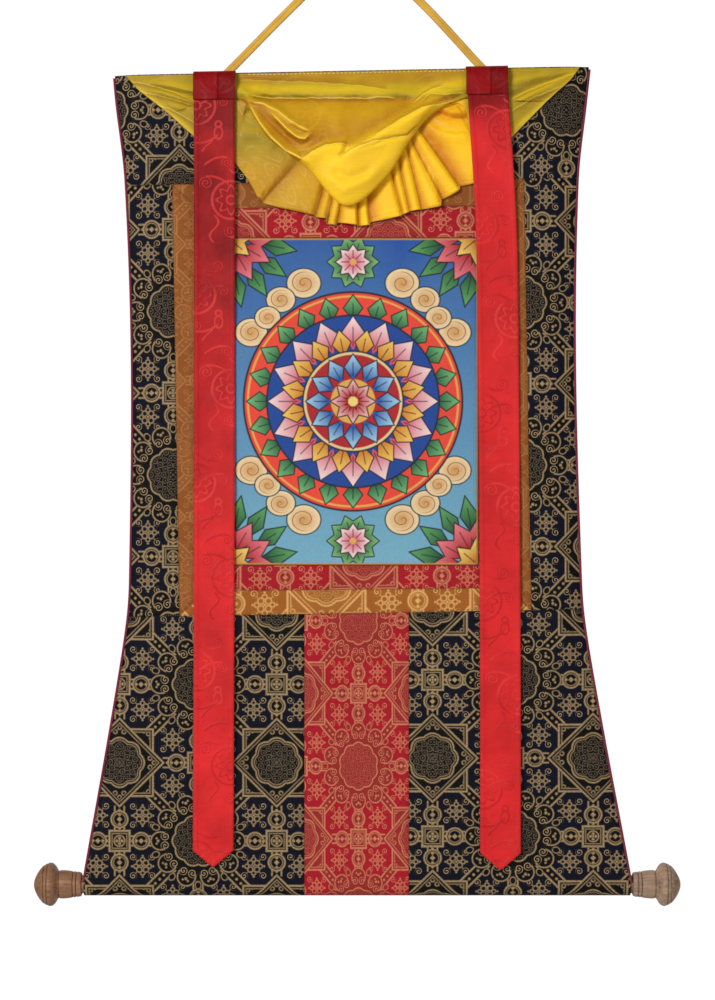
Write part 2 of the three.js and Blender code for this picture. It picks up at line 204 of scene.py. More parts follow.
class Finish:
    """One material, its nodes and its shader."""

    def __init__(self, name, roughness=0.6, sheen=0.0, sheen_roughness=0.4, specular=0.4):
        self.material = bpy.data.materials.new(name)
        self.material.use_nodes = True
        self.tree = self.material.node_tree
        self.shader = self.tree.nodes["Principled BSDF"]
        self.shader.inputs["Roughness"].default_value = roughness
        self.shader.inputs["Sheen Weight"].default_value = sheen
        self.shader.inputs["Sheen Roughness"].default_value = sheen_roughness
        self.shader.inputs["Specular IOR Level"].default_value = specular
        self.place = self.tree.nodes.new("ShaderNodeTexCoord").outputs["Object"]

    def design(self):
        node = self.tree.nodes.new("ShaderNodeUVMap")
        node.uv_map = "design"
        return node.outputs["UV"]

    def field(self, name):
        node = self.tree.nodes.new("ShaderNodeAttribute")
        node.attribute_name = name
        return Number(self.tree, node.outputs["Fac"])

    def set(self, name, item):
        self.tree.links.new(item.socket if isinstance(item, Number) else item, self.shader.inputs[name])

    def bump(self, height, distance, strength=1.0):
        node = self.tree.nodes.new("ShaderNodeBump")
        node.inputs["Distance"].default_value = distance
        node.inputs["Strength"].default_value = strength
        self.tree.links.new(height.socket, node.inputs["Height"])
        self.tree.links.new(node.outputs["Normal"], self.shader.inputs["Normal"])


def bloom(tree, radius, angle, ring_width, petals):
    """Rings of small petals that fill a medallion."""
    ring = (radius / ring_width).math("FLOOR")
    within = (radius / ring_width).math("FRACT") - 0.5
    count = ring * petals + petals
    turn = (angle * count / math.tau + ring * 0.5).math("FRACT") - 0.5
    sideways = turn * radius / count * (math.tau / ring_width)
    petal = hypot(within, sideways)
    return highest(line(petal - 0.4, 0.075, 0.05), inside(petal - 0.14, 0.06))


def coil(radius, angle, pitch, reach, half_width=0.16):
    """A spiral about a point, one turn for each pitch."""
    spiral = (radius / pitch - angle / math.tau).math("FRACT") - 0.5
    return line(spiral, half_width, 0.1) * inside(radius - reach)


def brocade_formula(tree, place):
    """The woven repeat: star and round medallions joined by links, with flowers in the cells between them."""
    u, v, _ = parts(tree, place)
    x = u.fold(0.5)
    y = v.fold(0.5)
    a = highest(x, y)
    b = lowest(x, y)

    # The star: a diamond over a square
    diamond = (x + y) * math.sqrt(0.5) - 0.198
    square = a - 0.213
    beyond = outside(diamond)
    star = highest(line(diamond, 0.0052), line(diamond + 0.02, 0.0022))
    corner_ring = hypot(x - 0.184, y - 0.184)
    corner_leaf = hypot(a - 0.197, b - 0.155)
    corners = highest(
        line(square, 0.0055),
        line(square + 0.018, 0.0022),
        line(corner_ring - 0.011, 0.003) * inside(square + 0.02),
        inside(corner_leaf - 0.009) * inside(square + 0.02),
    )
    radius = hypot(x, y)
    angle = y.math("ARCTAN2", x)
    lobe = radius - abs((angle * 4).math("COSINE")) * 0.016 - 0.142
    tip_ring = hypot(a - 0.222, b)
    tip_leaf = hypot(a - 0.195, b - 0.028)
    tips = highest(line(tip_ring - 0.012, 0.0032), line(tip_leaf - 0.012, 0.003), line(a - 0.247, 0.0024))
    star = highest(star, line(lobe, 0.0046), line(lobe + 0.016, 0.0022), tips * inside(diamond + 0.03))
    star_bloom = bloom(tree, radius, angle, 0.041, 5) * inside(lobe + 0.022)
    star_eye = highest(inside(radius - 0.012), line(radius - 0.024, 0.004))
    near_star = highest(inside(diamond), inside(square))

    # The round medallion, with a ring of scrolled heads and a leaf between each two
    bx = 0.5 - x
    by = 0.5 - y
    reach = hypot(bx, by)
    bearing = by.math("ARCTAN2", bx)
    sector = math.radians(36)
    local = bearing - (bearing / sector).math("ROUND") * sector
    out = reach * local.math("COSINE") - 0.24
    side = abs(reach * local.math("SINE"))
    head = hypot(out - 0.002, side) - 0.058
    volute = hypot(out + 0.031, side - 0.03)
    volute_turn = (side - 0.03).math("ARCTAN2", out + 0.031)
    half_local = bearing - ((bearing / sector).math("FLOOR") + 0.5) * sector
    leaf_out = reach * half_local.math("COSINE") - 0.283
    leaf_side = abs(reach * half_local.math("SINE"))
    leaf_shape = hypot(leaf_out, leaf_side * 1.25) - 0.024
    scallop = reach - abs((bearing * 5).math("COSINE")) * 0.014 - 0.15
    curls = highest(
        line(head, 0.0046) * outside(out + 0.03),
        coil(volute, volute_turn + 1.2, 0.0165, 0.028, 0.17),
        inside(hypot(out - 0.014, side) - 0.0085),
        inside(hypot(out - 0.024, side - 0.017) - 0.006),
        line(leaf_shape, 0.0036) * outside(head),
    )
    round_all = highest(inside(head - 0.004), inside(reach - 0.235), inside(leaf_shape - 0.004))
    rounds = highest(line(scallop, 0.0046), curls * outside(scallop - 0.006))
    round_bloom = bloom(tree, reach, bearing, 0.041, 5) * inside(scallop + 0.01)
    away = beyond * outside(square) * (1 - round_all)

    # The links between the medallions, through a small square
    first = 0.5 - a
    along = highest(first, b)
    across = lowest(first, b)
    from_ring = along - 0.138
    ring = hypot(from_ring, across)
    middle = hypot(along, across)
    box = highest(
        line(along - 0.064, 0.0062),
        line(middle - 0.034, 0.0036),
        line(along - 0.047, 0.0024),
        inside(hypot(along - 0.017, across) - 0.009),
        inside(middle - 0.007),
    ) * inside(along - 0.074)
    rails = line(across - 0.03, 0.0046) * outside(along - 0.066) * outside(ring - 0.052)
    beads = highest(
        inside(abs(from_ring) + across - 0.017),
        inside(hypot(abs(from_ring) - 0.031, across) - 0.009),
        inside(hypot(abs(from_ring) - 0.058, across) - 0.008),
    )
    links = highest(box, rails, line(ring - 0.052, 0.005), line(ring - 0.038, 0.0022), beads)
    links = links * inside(along - 0.225)
    link_bar = inside(across - 0.034) * inside(along - 0.225)
    near_links = highest(inside(along - 0.07), inside(ring - 0.055), link_bar)

    # Two bars with beads along the diagonal
    diagonal = (x + y) * math.sqrt(0.5)
    off = abs(x - y) * math.sqrt(0.5)
    bead = hypot((diagonal / 0.038).math("FRACT") * 0.038 - 0.019, off)
    bars = highest(line(off - 0.031, 0.0052), inside(bead - 0.008))
    near_bars = inside(off - 0.034)

    # A flower of small loops with four curled tendrils in each cell
    fx = abs(a - 0.338)
    fy = abs(b - 0.147)
    tendril = hypot(fx - 0.061, fy - 0.06)
    tendril_turn = (fy - 0.06).math("ARCTAN2", fx - 0.061)
    heart = hypot(fx, fy)
    loops = hypot(fx - 0.021, fy - 0.021)
    flower = highest(
        coil(tendril, tendril_turn + 2.4, 0.0155, 0.022, 0.17),
        line(loops - 0.0165, 0.0032),
        line(hypot(fx - 0.043, fy) - 0.013, 0.0032),
        line(hypot(fx, fy - 0.043) - 0.013, 0.0032),
        line(fx - fy, 0.0028) * line(heart - 0.058, 0.009),
        inside(heart - 0.0065),
        inside(hypot(fx - 0.066, fy) - 0.006),
        inside(hypot(fx, fy - 0.067) - 0.006),
    )

    bright = highest(
        star * inside(diamond - 0.012),
        corners * beyond * inside(square - 0.012),
        rounds * round_all,
        links * away,
        bars * away,
        flower * away * (1 - near_links) * (1 - near_bars),
    )
    dull = highest(star_bloom, star_eye, round_bloom) * highest(inside(diamond), round_all)
    cell = away * (1 - near_links) * (1 - near_bars)
    dark = highest(near_star, round_all)
    return bright, dull, cell, dark


def damask_formula(tree, place):
    """Tone-on-tone figures of the silk: round rosettes, cloud scrolls, ribbons and buds."""
    u, v, _ = parts(tree, place)
    height = 2.35
    width = 1.72
    row = (v / height).math("FLOOR")
    shift = (row * 0.5).math("FRACT") * width
    cx = ((u + shift) / width).math("FRACT") * width - 0.5 * width - 0.42
    cx = ((cx / width + 0.5).math("FRACT") - 0.5) * width
    cy = (v / height).math("FRACT") * height - 0.5 * height
    rose = hypot(cx, cy)
    turn = cy.math("ARCTAN2", cx)
    petals = rose - 0.3 - (turn * 8).math("COSINE") * 0.06
    spokes = line(abs((turn * 8).math("SINE")) * rose, 0.03, 0.02) * line(rose - 0.17, 0.05)
    rosette = highest(
        line(rose - 0.47, 0.032, 0.014),
        line(petals, 0.03, 0.014),
        line(rose - 0.105, 0.026, 0.014),
        spokes,
    )

    def scroll(x, y, size, turned, tail):
        dx = cx - x
        dy = cy - y
        radius = hypot(dx, dy)
        angle = (dy * turned).math("ARCTAN2", dx)
        spiral = (radius / size * 2 - angle / math.tau).math("FRACT") - 0.5
        coil = line(spiral, 0.15, 0.09) * inside(radius - size, 0.01)
        sweep = line(dy * turned - size * 0.98 + (dx - tail * 0.1) * (dx - tail * 0.1) * 0.9, 0.03, 0.014)
        sweep = sweep * inside(abs(dx - tail * 0.28) - 0.28, 0.02)
        return highest(coil, sweep)

    def wave(x, y, length, swing):
        bend = (cx - x) - ((cy - y) * 9).math("SINE") * swing
        return line(bend, 0.03, 0.014) * inside(abs(cy - y) - length, 0.02)

    bud = hypot((cx - 0.55) * 1.5, cy + 0.68)
    buds = highest(line(bud - 0.15, 0.03, 0.014), line(hypot(cx - 0.55, cy + 0.47) - 0.075, 0.026, 0.014))
    scrolls = highest(
        scroll(-0.62, 0.42, 0.17, 1, 1),
        scroll(0.52, 0.72, 0.16, -1, -1),
        scroll(-0.1, 0.93, 0.14, 1, -1),
        scroll(0.66, 0.08, 0.14, 1, -1),
        scroll(-0.02, -0.78, 0.15, -1, 1),
        wave(-0.42, -0.72, 0.34, 0.11),
        wave(0.28, -0.98, 0.17, 0.13),
        buds,
    )
    return rosette, scrolls


brocade_group = group("brocade", ["Place"], ["Bright", "Dull", "Cell", "Dark"], brocade_formula)
damask_group = group("damask", ["Place"], ["Rosette", "Scrolls"], damask_formula)


def weave(finish, pitch):
    """The over and under of the threads, 0 to 1, at a pitch in metres."""
    x, y, z = parts(finish.tree, finish.place)
    warp = abs((x * (math.pi / pitch)).math("SINE"))
    weft = abs(((z + y) * (math.pi / pitch)).math("SINE"))
    return warp * weft


def brocade(name, ground, cell_ground, thread, dull_thread, contrast=1.0, back=False):
    """Woven brocade, with its figure in metal thread."""
    finish = Finish(name, roughness=0.62, sheen=0.01, specular=0.14)
    tree = finish.tree
    design = finish.design()
    bright, dull, cell, dark = use_group(tree, brocade_group, design)
    grain = noise(tree, finish.place, 900, 1.0)
    cloudy = noise(tree, finish.place, 22, 3.0)
    threads = weave(finish, 0.0016)
    base = mix(tree, cell, ground, cell_ground)
    worn = grain.ramp(0.25, 0.62) * contrast
    base = mix(tree, dull * worn * 0.85, base, dull_thread)
    base = mix(tree, bright * (grain.ramp(0.1, 0.5) * (0.95 * contrast)), base, thread)
    shade = (cloudy * 0.3 + 0.85) * (threads * 0.3 + 0.8)
    # Painted shade along the seams: the colour darkens to 0.55 of itself at a sewn edge, over 1.6 mm
    edge = finish.field("edge").ramp(0.0, 0.0016) * 0.45 + 0.55
    tone = shade * edge
    tint = mix(tree, 1.0, base, vector(tree, tone, tone, tone), "MULTIPLY")
    if back:
        tint = mix(tree, 0.55, tint, dull_thread)
    finish.set("Base Color", tint)
    gloss = highest(bright, dull * 0.6)
    finish.set("Roughness", 0.72 - gloss * 0.22)
    finish.bump(gloss * 0.6 + threads * 0.35 + grain * 0.15, 0.0005, 0.55)
    return finish.material


def folds_on(tree, place, fan, lines, pleats):
    """Painted highlights and painted shade along the creases of the swag, and painted shade in the folds of
    the fan.
    """
    x, _, z = [part * 1000 for part in parts(tree, place)]
    flat_z = z
    z = z + (noise(tree, place, 70, 3.0) - 0.5) * 4
    lights = []
    darks = []
    for painted_highlight, painted_shade, reach, route in lines:
        first, last = np.array(route[0]), np.array(route[-1])
        upright = abs(last - first)[0] / np.linalg.norm(last - first)
        level = z - route[0][1]
        for (x0, z0), (x1, z1) in zip(route, route[1:]):
            level = level - x.ramp(x0, x1) * (z1 - z0)
        apart = level * upright
        ends = x.ramp(first[0] - 1, first[0] + 4) * x.ramp(last[0] + 1, last[0] - 4)
        side = apart * math.copysign(1, reach)
        lights.append(line(apart, 0.6, 0.5) * ends * painted_highlight)
        darks.append(side.ramp(0, 1) * side.ramp(abs(reach), 0.8) * ends * painted_shade)
    creased = [total * (1 - fan) for total in (highest(*lights), highest(*darks))]
    valleys = []
    for top_x, top_z, low_x, low_z, *_ in pleats:
        length = math.hypot(low_x - top_x, low_z - top_z)
        run_x, run_z = (low_x - top_x) / length, (low_z - top_z) / length
        right = (x - top_x) * -run_z + (flat_z - top_z) * run_x
        down = (x - top_x) * run_x + (z - top_z) * run_z
        valleys.append(right.ramp(-0.6, 0.2) * right.ramp(4, 0.4) * down.ramp(-6, 8))
    return creased[0], highest(creased[1], highest(*valleys) * fan * 0.6)


def silk(name, grounds, lines, figured, uneven, relief, gloss, creased=None):
    """Glossy damask silk. Its tone, painted light and shade, runs from its deep to its light colours, and its
    warm share, a painted warm glow of light through the silk, runs to the warmer of each.
    """
    finish = Finish(name, roughness=0.42, sheen=0.02, sheen_roughness=0.4, specular=gloss)
    tree = finish.tree
    deep, warm_deep, light, warm_light = grounds
    line_dark, line_light = lines
    rosette, scrolls = use_group(tree, damask_group, finish.design())
    figure = highest(rosette, scrolls)
    cloudy = noise(tree, finish.place, 30, 3.0)
    patches = noise(tree, finish.place, 13, 1.0)
    slub = noise(tree, vector(tree, *stretched(finish, 60, 60, 900)), 1.0, 2.0)
    threads = weave(finish, 0.0011)
    edge = finish.field("edge")
    tone = (finish.field("tone") + (cloudy - 0.5) * uneven).ramp(0.0, 1.0)
    warm = finish.field("warm")
    base = mix(tree, tone, mix(tree, warm, deep, warm_deep), mix(tree, warm, light, warm_light))
    swap = (patches + (0.5 - tone) * 0.3).ramp(0.36, 0.5)
    base = mix(tree, figure * swap * figured, base, line_light)
    base = mix(tree, figure * (1 - swap) * (0.7 * figured), base, line_dark)
    # Painted highlights and painted shade along the creases and in the folds
    if creased:
        painted_highlight, painted_shade = folds_on(tree, finish.place, finish.field("fan"), *creased)
        base = mix(tree, painted_highlight, base, linear(255, 226, 84))
        base = mix(tree, painted_shade, base, linear(136, 78, 2))
    hem_stitch = line(edge - 0.0052, 0.0004, 0.0003) * 0.1
    # Painted shade along the cloth's edges, to 0.7 at the edge over 1.2 mm, with the random slub and the line
    # of the hem stitch
    shade = (slub * 0.22 + 0.89) * (edge.ramp(0.0, 0.0012) * 0.3 + 0.7) * (1 - hem_stitch)
    base = mix(tree, 1.0, base, vector(tree, shade, shade, shade), "MULTIPLY")
    finish.set("Base Color", base)
    finish.set("Roughness", 0.46 - figure * 0.12 + slub * 0.08)
    crumple = noise(tree, finish.place, 55, 2.0)
    finish.bump(figure * relief + crumple * 1.8 + threads * 0.12 - hem_stitch * 1.5, 0.0009, 0.6)
    return finish.material


def stretched(finish, x_scale, y_scale, z_scale):
    x, y, z = parts(finish.tree, finish.place)
    return x * x_scale, y * y_scale, z * z_scale


def wood(name, dark, light):
    """Turned wood with its grain along the rod, and painted shade in its grooves."""
    finish = Finish(name, roughness=0.5, specular=0.4)
    tree = finish.tree
    grain = noise(tree, vector(tree, *stretched(finish, 22, 330, 330)), 1.0, 4.0, 0.62)
    pores = noise(tree, vector(tree, *stretched(finish, 70, 1500, 1500)), 1.0, 2.0)
    broad = noise(tree, vector(tree, *stretched(finish, 9, 70, 70)), 1.0, 2.0)
    tone = grain * 0.75 + broad * 0.5 + pores * 0.25
    base = mix(tree, tone.ramp(0.42, 1.05), dark, light)
    base = mix(tree, pores.ramp(0.36, 0.28) * 0.6, base, linear(58, 38, 26))
    # Painted shade in the turned grooves
    base = mix(tree, finish.field("groove") * 0.75, base, linear(48, 32, 24))
    finish.set("Base Color", base)
    finish.set("Roughness", 0.62 - grain * 0.25)
    finish.bump(grain * 0.5 + pores * 0.5, 0.0004, 0.5)
    return finish.material


def plain_cloth(name, first, second, pitch=0.0014, sheen=0.1):
    """A plain woven cloth in two close colours."""
    finish = Finish(name, roughness=0.8, sheen=sheen, specular=0.3)
    tree = finish.tree
    threads = weave(finish, pitch)
    cloudy = noise(tree, finish.place, 40, 4.0)
    base = mix(tree, (threads * 0.5 + cloudy * 0.7).ramp(0.2, 0.9), first, second)
    finish.set("Base Color", base)
    finish.bump(threads * 0.8 + cloudy * 0.3, 0.0006, 0.6)
    return finish.material


def painting(name):
    """The painted cloth, with a plain rosette of petals on blue in place of a picture."""
    finish = Finish(name, roughness=0.7, specular=0.3)
    tree = finish.tree
    u, v, _ = parts(tree, finish.design())
    cloudy = noise(tree, finish.place, 14, 4.0)
    grain = noise(tree, finish.place, 420, 2.0)
    soft = 0.004
    radius = hypot(u, v)
    angle = v.math("ARCTAN2", u)
    ink = linear(28, 26, 34)
    gold = linear(226, 172, 84)
    picture = mix(tree, (v * 0.42 + 0.5 + (cloudy - 0.5) * 0.3), linear(124, 182, 200), linear(24, 74, 158))

    def lay(colour, mask):
        nonlocal picture
        picture = mix(tree, mask, picture, colour)

    def petals(distance, turn, count, offset, middle, length, width, inner, outer, rim):
        """A ring of pointed petals with a rim and a paler tip."""
        sector = math.tau / count
        local = turn + offset
        local = local - (local / sector).math("ROUND") * sector
        out = distance * local.math("COSINE") - middle
        side = abs(distance * local.math("SINE"))
        taper = 1 - abs(out + length * 0.15) / length
        shape = side - taper * width
        lay(rim, inside(shape - 0.009, soft) * inside(abs(out) - length * 1.0, soft))
        shade = (out / length * 0.5 + 0.5).ramp(0.1, 0.95)
        lay(mix(tree, shade, inner, outer), inside(shape, soft))
        lay(rim, line(side, 0.0028, soft) * inside(shape + 0.012, soft) * inside(out - length * 0.25, soft))

    # Corner sprays and scrolled clouds
    corner_u = 0.767 - abs(u)
    corner_v = 1.0 - abs(v)
    corner = hypot(corner_u, corner_v)
    corner_turn = corner_v.math("ARCTAN2", corner_u)
    cream = linear(242, 216, 170)
    puffs = ((0.3, 0.72, 0.1), (0.44, 0.62, 0.085), (0.62, 0.42, 0.095), (0.52, 0.51, 0.075))
    for place_u, place_v, size in puffs:
        du = abs(u) - place_u
        dv = abs(v) - place_v
        puff = hypot(du, dv * 1.15)
        spiral = (puff / size * 2.2 - dv.math("ARCTAN2", du) / math.tau).math("FRACT") - 0.5
        lay(ink, inside(puff - size - 0.008, soft))
        lay(mix(tree, (puff / size).ramp(0.2, 1.0), linear(214, 160, 96), cream), inside(puff - size, soft))
        lay(linear(150, 92, 52), line(spiral, 0.06, 0.05) * inside(puff - size * 0.8, soft))
    petals(corner, corner_turn, 16, 0.2, 0.33, 0.11, 0.05, linear(20, 78, 50), linear(96, 168, 96), ink)
    petals(corner, corner_turn, 12, 0.0, 0.21, 0.1, 0.06, linear(178, 30, 40), linear(240, 128, 136), ink)
    petals(corner, corner_turn, 8, 0.1, 0.1, 0.08, 0.05, linear(196, 120, 30), linear(250, 214, 110), ink)

    # The great rosette
    lay(ink, inside(radius - 0.672, soft))
    lay(linear(236, 72, 52), inside(radius - 0.66, soft))
    lay(gold, line(radius - 0.64, 0.006, soft))
    petals(radius, angle, 24, 0.0, 0.58, 0.075, 0.055, linear(20, 84, 54), linear(120, 190, 120), ink)
    lay(ink, inside(radius - 0.53, soft))
    lay(linear(28, 70, 150), inside(radius - 0.52, soft))
    petals(radius, angle, 16, 0.0, 0.43, 0.1, 0.07, linear(214, 84, 110), linear(252, 226, 222), ink)
    between = math.pi / 16
    petals(radius, angle, 16, between, 0.37, 0.08, 0.055, linear(206, 122, 30), linear(250, 206, 100), ink)
    lay(ink, inside(radius - 0.31, soft))
    lay(linear(232, 206, 150), inside(radius - 0.3, soft))
    lay(linear(176, 34, 40), inside(radius - 0.285, soft))
    petals(radius, angle, 12, 0.0, 0.22, 0.075, 0.05, linear(30, 92, 170), linear(170, 214, 236), ink)
    lay(gold, inside(radius - 0.135, soft))
    petals(radius, angle, 8, 0.0, 0.085, 0.055, 0.034, linear(190, 36, 44), linear(248, 196, 190), ink)
    lay(linear(244, 214, 120), inside(radius - 0.028, soft))

    # Small blossoms above and below it, and a fine border
    post = abs(v) - 0.85
    bud = hypot(u, post)
    bud_turn = post.math("ARCTAN2", u)
    petals(bud, bud_turn, 10, 0.0, 0.105, 0.06, 0.05, linear(22, 88, 58), linear(130, 190, 118), ink)
    petals(bud, bud_turn, 8, 0.0, 0.06, 0.05, 0.036, linear(220, 92, 120), linear(254, 232, 226), ink)
    lay(gold, inside(bud - 0.02, soft))
    frame_line = lowest(corner_u, corner_v)
    lay(linear(200, 150, 70), inside(frame_line - 0.016, soft))
    lay(linear(120, 26, 34), inside(frame_line - 0.008, soft))

    shade = (cloudy * 0.16 + 0.78) * (grain * 0.2 + 0.9)
    tint = mix(tree, 1.0, picture, vector(tree, shade, shade, shade), "MULTIPLY")
    finish.set("Base Color", tint)
    finish.bump(weave(finish, 0.0013) * 0.6 + grain * 0.4, 0.0004, 0.4)
    return finish.material


# Cloth thicknesses and the shape of the mount
MOUNT_CLOTH = 1.6
VEIL_CLOTH = 1.0
RIBBON_CLOTH = 1.4
GAP = 0.3
TOP_LEVEL = -128
TOP_LEAN = 0.0188
TOP_FOLD_DROP = 24
OUTLINE = [
    # drop below the top edge, left, right
    (-10, 271, 259),
    (35, 267, 254),
    (120, 257, 245),
    (320, 250, 242),
    (560, 252, 248.5),
    (605, 255, 252),
    (690, 268, 266),
    (910, 306, 306.5),
]
PIPING_RADIUS = 1.3
EDGE_ROOM = 2 * PIPING_RADIUS + 2 * GAP
EDGE_CURL = 6
CURL_REACH = 42
RIPPLE = 1.4
RIPPLE_LENGTH = 175
RIPPLE_TOP = -735
RIPPLE_FULL = -800
STRAIGHT_ABOVE_ROD = 20
CURVED_ABOVE_ROD = 160
ROD_RADIUS = 10
ROD_LEVEL = -1025
HEM_RADIUS = ROD_RADIUS + 2 * GAP + MOUNT_CLOTH / 2
HEM_START = math.radians(506)
HEM_END = math.radians(180)
DOOR_LEFT = -58
DOOR_RIGHT = 57

# The frames: middle across, middle up, width, height, lean
GOLD_FRAME = (-5.8, -487.6, 387, 475, 0.017)
RED_FRAME = (-5, -488.7, 333, 420.5, 0.0105)
CANVAS = (-4.4, -492.2, 277, 361, 0)


def smooth_value(rows, column, at):
    """A smooth value from a table whose first column is the key."""
    entries = np.array(rows, dtype=float)
    keys = entries[:, 0]
    values = entries[:, column]
    last = len(keys) - 1
    high = np.clip(np.searchsorted(keys, at), 1, last)
    low = high - 1
    before = np.maximum(high - 2, 0)
    after = np.minimum(high + 1, last)
    run = keys[high] - keys[low]
    t = np.clip((at - keys[low]) / run, 0, 1)
    leaving = (values[high] - values[before]) / (keys[high] - keys[before]) * run
    arriving = (values[after] - values[low]) / (keys[after] - keys[low]) * run
    return (
        values[low] * (1 + 2 * t) * (1 - t) ** 2
        + leaving * t * (1 - t) ** 2
        + values[high] * t * t * (3 - 2 * t)
        + arriving * t * t * (t - 1)
    )


def smoothstep(value, low, high):
    t = np.clip((value - low) / (high - low), 0, 1)
    return t * t * (3 - 2 * t)


def lerp(a, b, share):
    return a + (b - a) * share


def top_edge(x):
    return TOP_LEVEL + TOP_LEAN * x


def left_edge(z):
    return -smooth_value(OUTLINE, 1, TOP_LEVEL - z)


def right_edge(z):
    return smooth_value(OUTLINE, 2, TOP_LEVEL - z)


def left_inside(z):
    return left_edge(z) + EDGE_ROOM - GAP


def right_inside(z):
    return right_edge(z) - EDGE_ROOM + GAP


def drape(x, z):
    """How far the mount stands off the flat, towards the wall where it is positive."""
    from_edge = np.minimum(x - left_edge(z), right_edge(z) - x)
    curl = EDGE_CURL * (1 - smoothstep(from_edge, 0, CURL_REACH)) ** 2
    lower = 1 - smoothstep(z, RIPPLE_FULL, RIPPLE_TOP)
    ripple = RIPPLE * lower * np.sin(math.tau * x / RIPPLE_LENGTH)
    return (curl + ripple) * smoothstep(z, ROD_LEVEL + STRAIGHT_ABOVE_ROD, ROD_LEVEL + CURVED_ABOVE_ROD)


# Seams: the cloth sinks beside them, with uneven puckers along them
SEAM_DEPTH = 0.9
SEAM_REACH = 2.6
PUCKER = 0.32
PUCKER_REACH = 13
PUCKER_LENGTH = 17


def seam(distance, along):
    wander = 2.1 * np.sin(along / 47) + 1.3 * np.sin(along / 19 + 1)
    pucker = PUCKER * np.exp(-distance / PUCKER_REACH) * np.sin(math.tau * along / PUCKER_LENGTH + wander)
    return SEAM_DEPTH * np.exp(-((distance / SEAM_REACH) ** 2)) + pucker


def steps(length, middle):
    """Places along a length, close together at both ends."""
    ends = [d for d in (0, 0.5, 1, 1.6, 2.4, 3.5, 5, 7.5, 11) if d < length / 2.4]
    inner = length - 2 * ends[-1]
    count = max(round(inner / middle), 1)
    between = [ends[-1] + inner * i / count for i in range(1, count)]
    return np.array(ends + between + [length - d for d in reversed(ends)]) / length


def closed_sheet(name, points, thickness, design, materials, **fields):
    """A closed sheet of cloth about a grid of points, rows upwards and columns to the right."""
    rows, columns = points.shape[:2]
    count = rows * columns
    normal = np.cross(np.gradient(points, axis=1), np.gradient(points, axis=0))
    normal /= np.maximum(np.linalg.norm(normal, axis=2, keepdims=True), 1e-9)
    half = normal * thickness / 2
    vertices = np.concatenate([(points + half).reshape(-1, 3), (points - half).reshape(-1, 3)]) * MM
    index = np.arange(count).reshape(rows, columns)
    front = np.stack([index[:-1, :-1], index[:-1, 1:], index[1:, 1:], index[1:, :-1]], axis=-1).reshape(-1, 4)
    back = front[:, ::-1] + count
    rim = np.concatenate([index[0, :], index[1:, -1], index[-1, -2::-1], index[-2:0:-1, 0]])
    ahead = np.roll(rim, -1)
    side = np.stack([ahead, rim, rim + count, ahead + count], axis=-1)
    mesh = bpy.data.meshes.new(name)
    mesh.from_pydata(vertices.tolist(), [], np.concatenate([front, side, back]).tolist())
    for material in materials:
        mesh.materials.append(material)
    slots = np.zeros(len(mesh.polygons), dtype=np.int32)
    slots[len(front) + len(side) :] = len(materials) - 1
    mesh.polygons.foreach_set("material_index", slots)
    corners = np.empty(len(mesh.loops), dtype=np.int32)
    mesh.loops.foreach_get("vertex_index", corners)
    layer = mesh.uv_layers.new(name="design")
    layer.data.foreach_set("uv", design.reshape(-1, 2)[corners % count].astype(np.float32).ravel())
    for field, values in fields.items():
        data = mesh.attributes.new(field, "FLOAT", "POINT").data
        both = np.tile(np.broadcast_to(values, (rows, columns)).ravel(), 2)
        data.foreach_set("value", both.astype(np.float32))
    mesh.shade_smooth()
    mesh.set_sharp_from_angle(angle=math.radians(55))
    return add_piece(name, mesh)


def ring_faces(rings, sides, base=0):
    """The faces of a row of rings, closed at both ends."""
    faces = [
        (k * sides + i, k * sides + (i + 1) % sides, (k + 1) * sides + (i + 1) % sides, (k + 1) * sides + i)
        for k in range(rings - 1)
        for i in range(sides)
    ]
    faces.append(tuple(reversed(range(sides))))
    faces.append(tuple(range((rings - 1) * sides, rings * sides)))
    return [tuple(base + i for i in face) for face in faces]


def ring_mesh(name, vertices, faces, material, sharp=None):
    """A smooth mesh from points in millimetres, with edges kept sharp above an angle."""
    mesh = bpy.data.meshes.new(name)
    mesh.from_pydata((np.array(vertices) * MM).tolist(), [], faces)
    mesh.materials.append(material)
    mesh.shade_smooth()
    if sharp:
        mesh.set_sharp_from_angle(angle=math.radians(sharp))
    return mesh


def add_piece(name, mesh):
    piece = bpy.data.objects.new(name, mesh)
    bpy.context.scene.collection.objects.link(piece)
    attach(piece, "root")
    return piece


def corners_of(rectangle):
    """The corners of a leaning rectangle, anticlockwise from the bottom left."""
    across, up, width, height, lean = rectangle
    turn = np.array([[math.cos(lean), -math.sin(lean)], [math.sin(lean), math.cos(lean)]])
    half = np.array([[-width, -height], [width, -height], [width, height], [-width, height]]) / 2
    return half @ turn.T + (across, up)


gold_low_left, gold_low_right, gold_high_right, gold_high_left = corners_of(GOLD_FRAME)


def on_line(a, b, at, axis):
    """The other coordinate of the line through a and b, where the coordinate of the axis is at."""
    other = 1 - axis
    return a[other] + (b[other] - a[other]) * (at - a[axis]) / (b[axis] - a[axis])


def upper_seam(x):
    return on_line(gold_high_left, gold_high_right, x, 0)


def lower_seam(x):
    return on_line(gold_low_left, gold_low_right, x, 0)


def gold_left(z):
    return on_line(gold_low_left, gold_high_left, z, 1)


def gold_right(z):
    return on_line(gold_low_right, gold_high_right, z, 1)


def panel_place(u, share, bottom, top, start, end):
    x = z = 0 * u
    for _ in range(4):
        z = lerp(bottom(x), top(x), share)
        x = lerp(start(z), end(z), u)
    return x, z


def on_design(origin, x, z):
    """The place on the woven repeat. The origin is a star's middle, then the repeat across and up."""
    middle_x, middle_z, across, up = origin
    return (x - middle_x) / across, (z - middle_z) / up


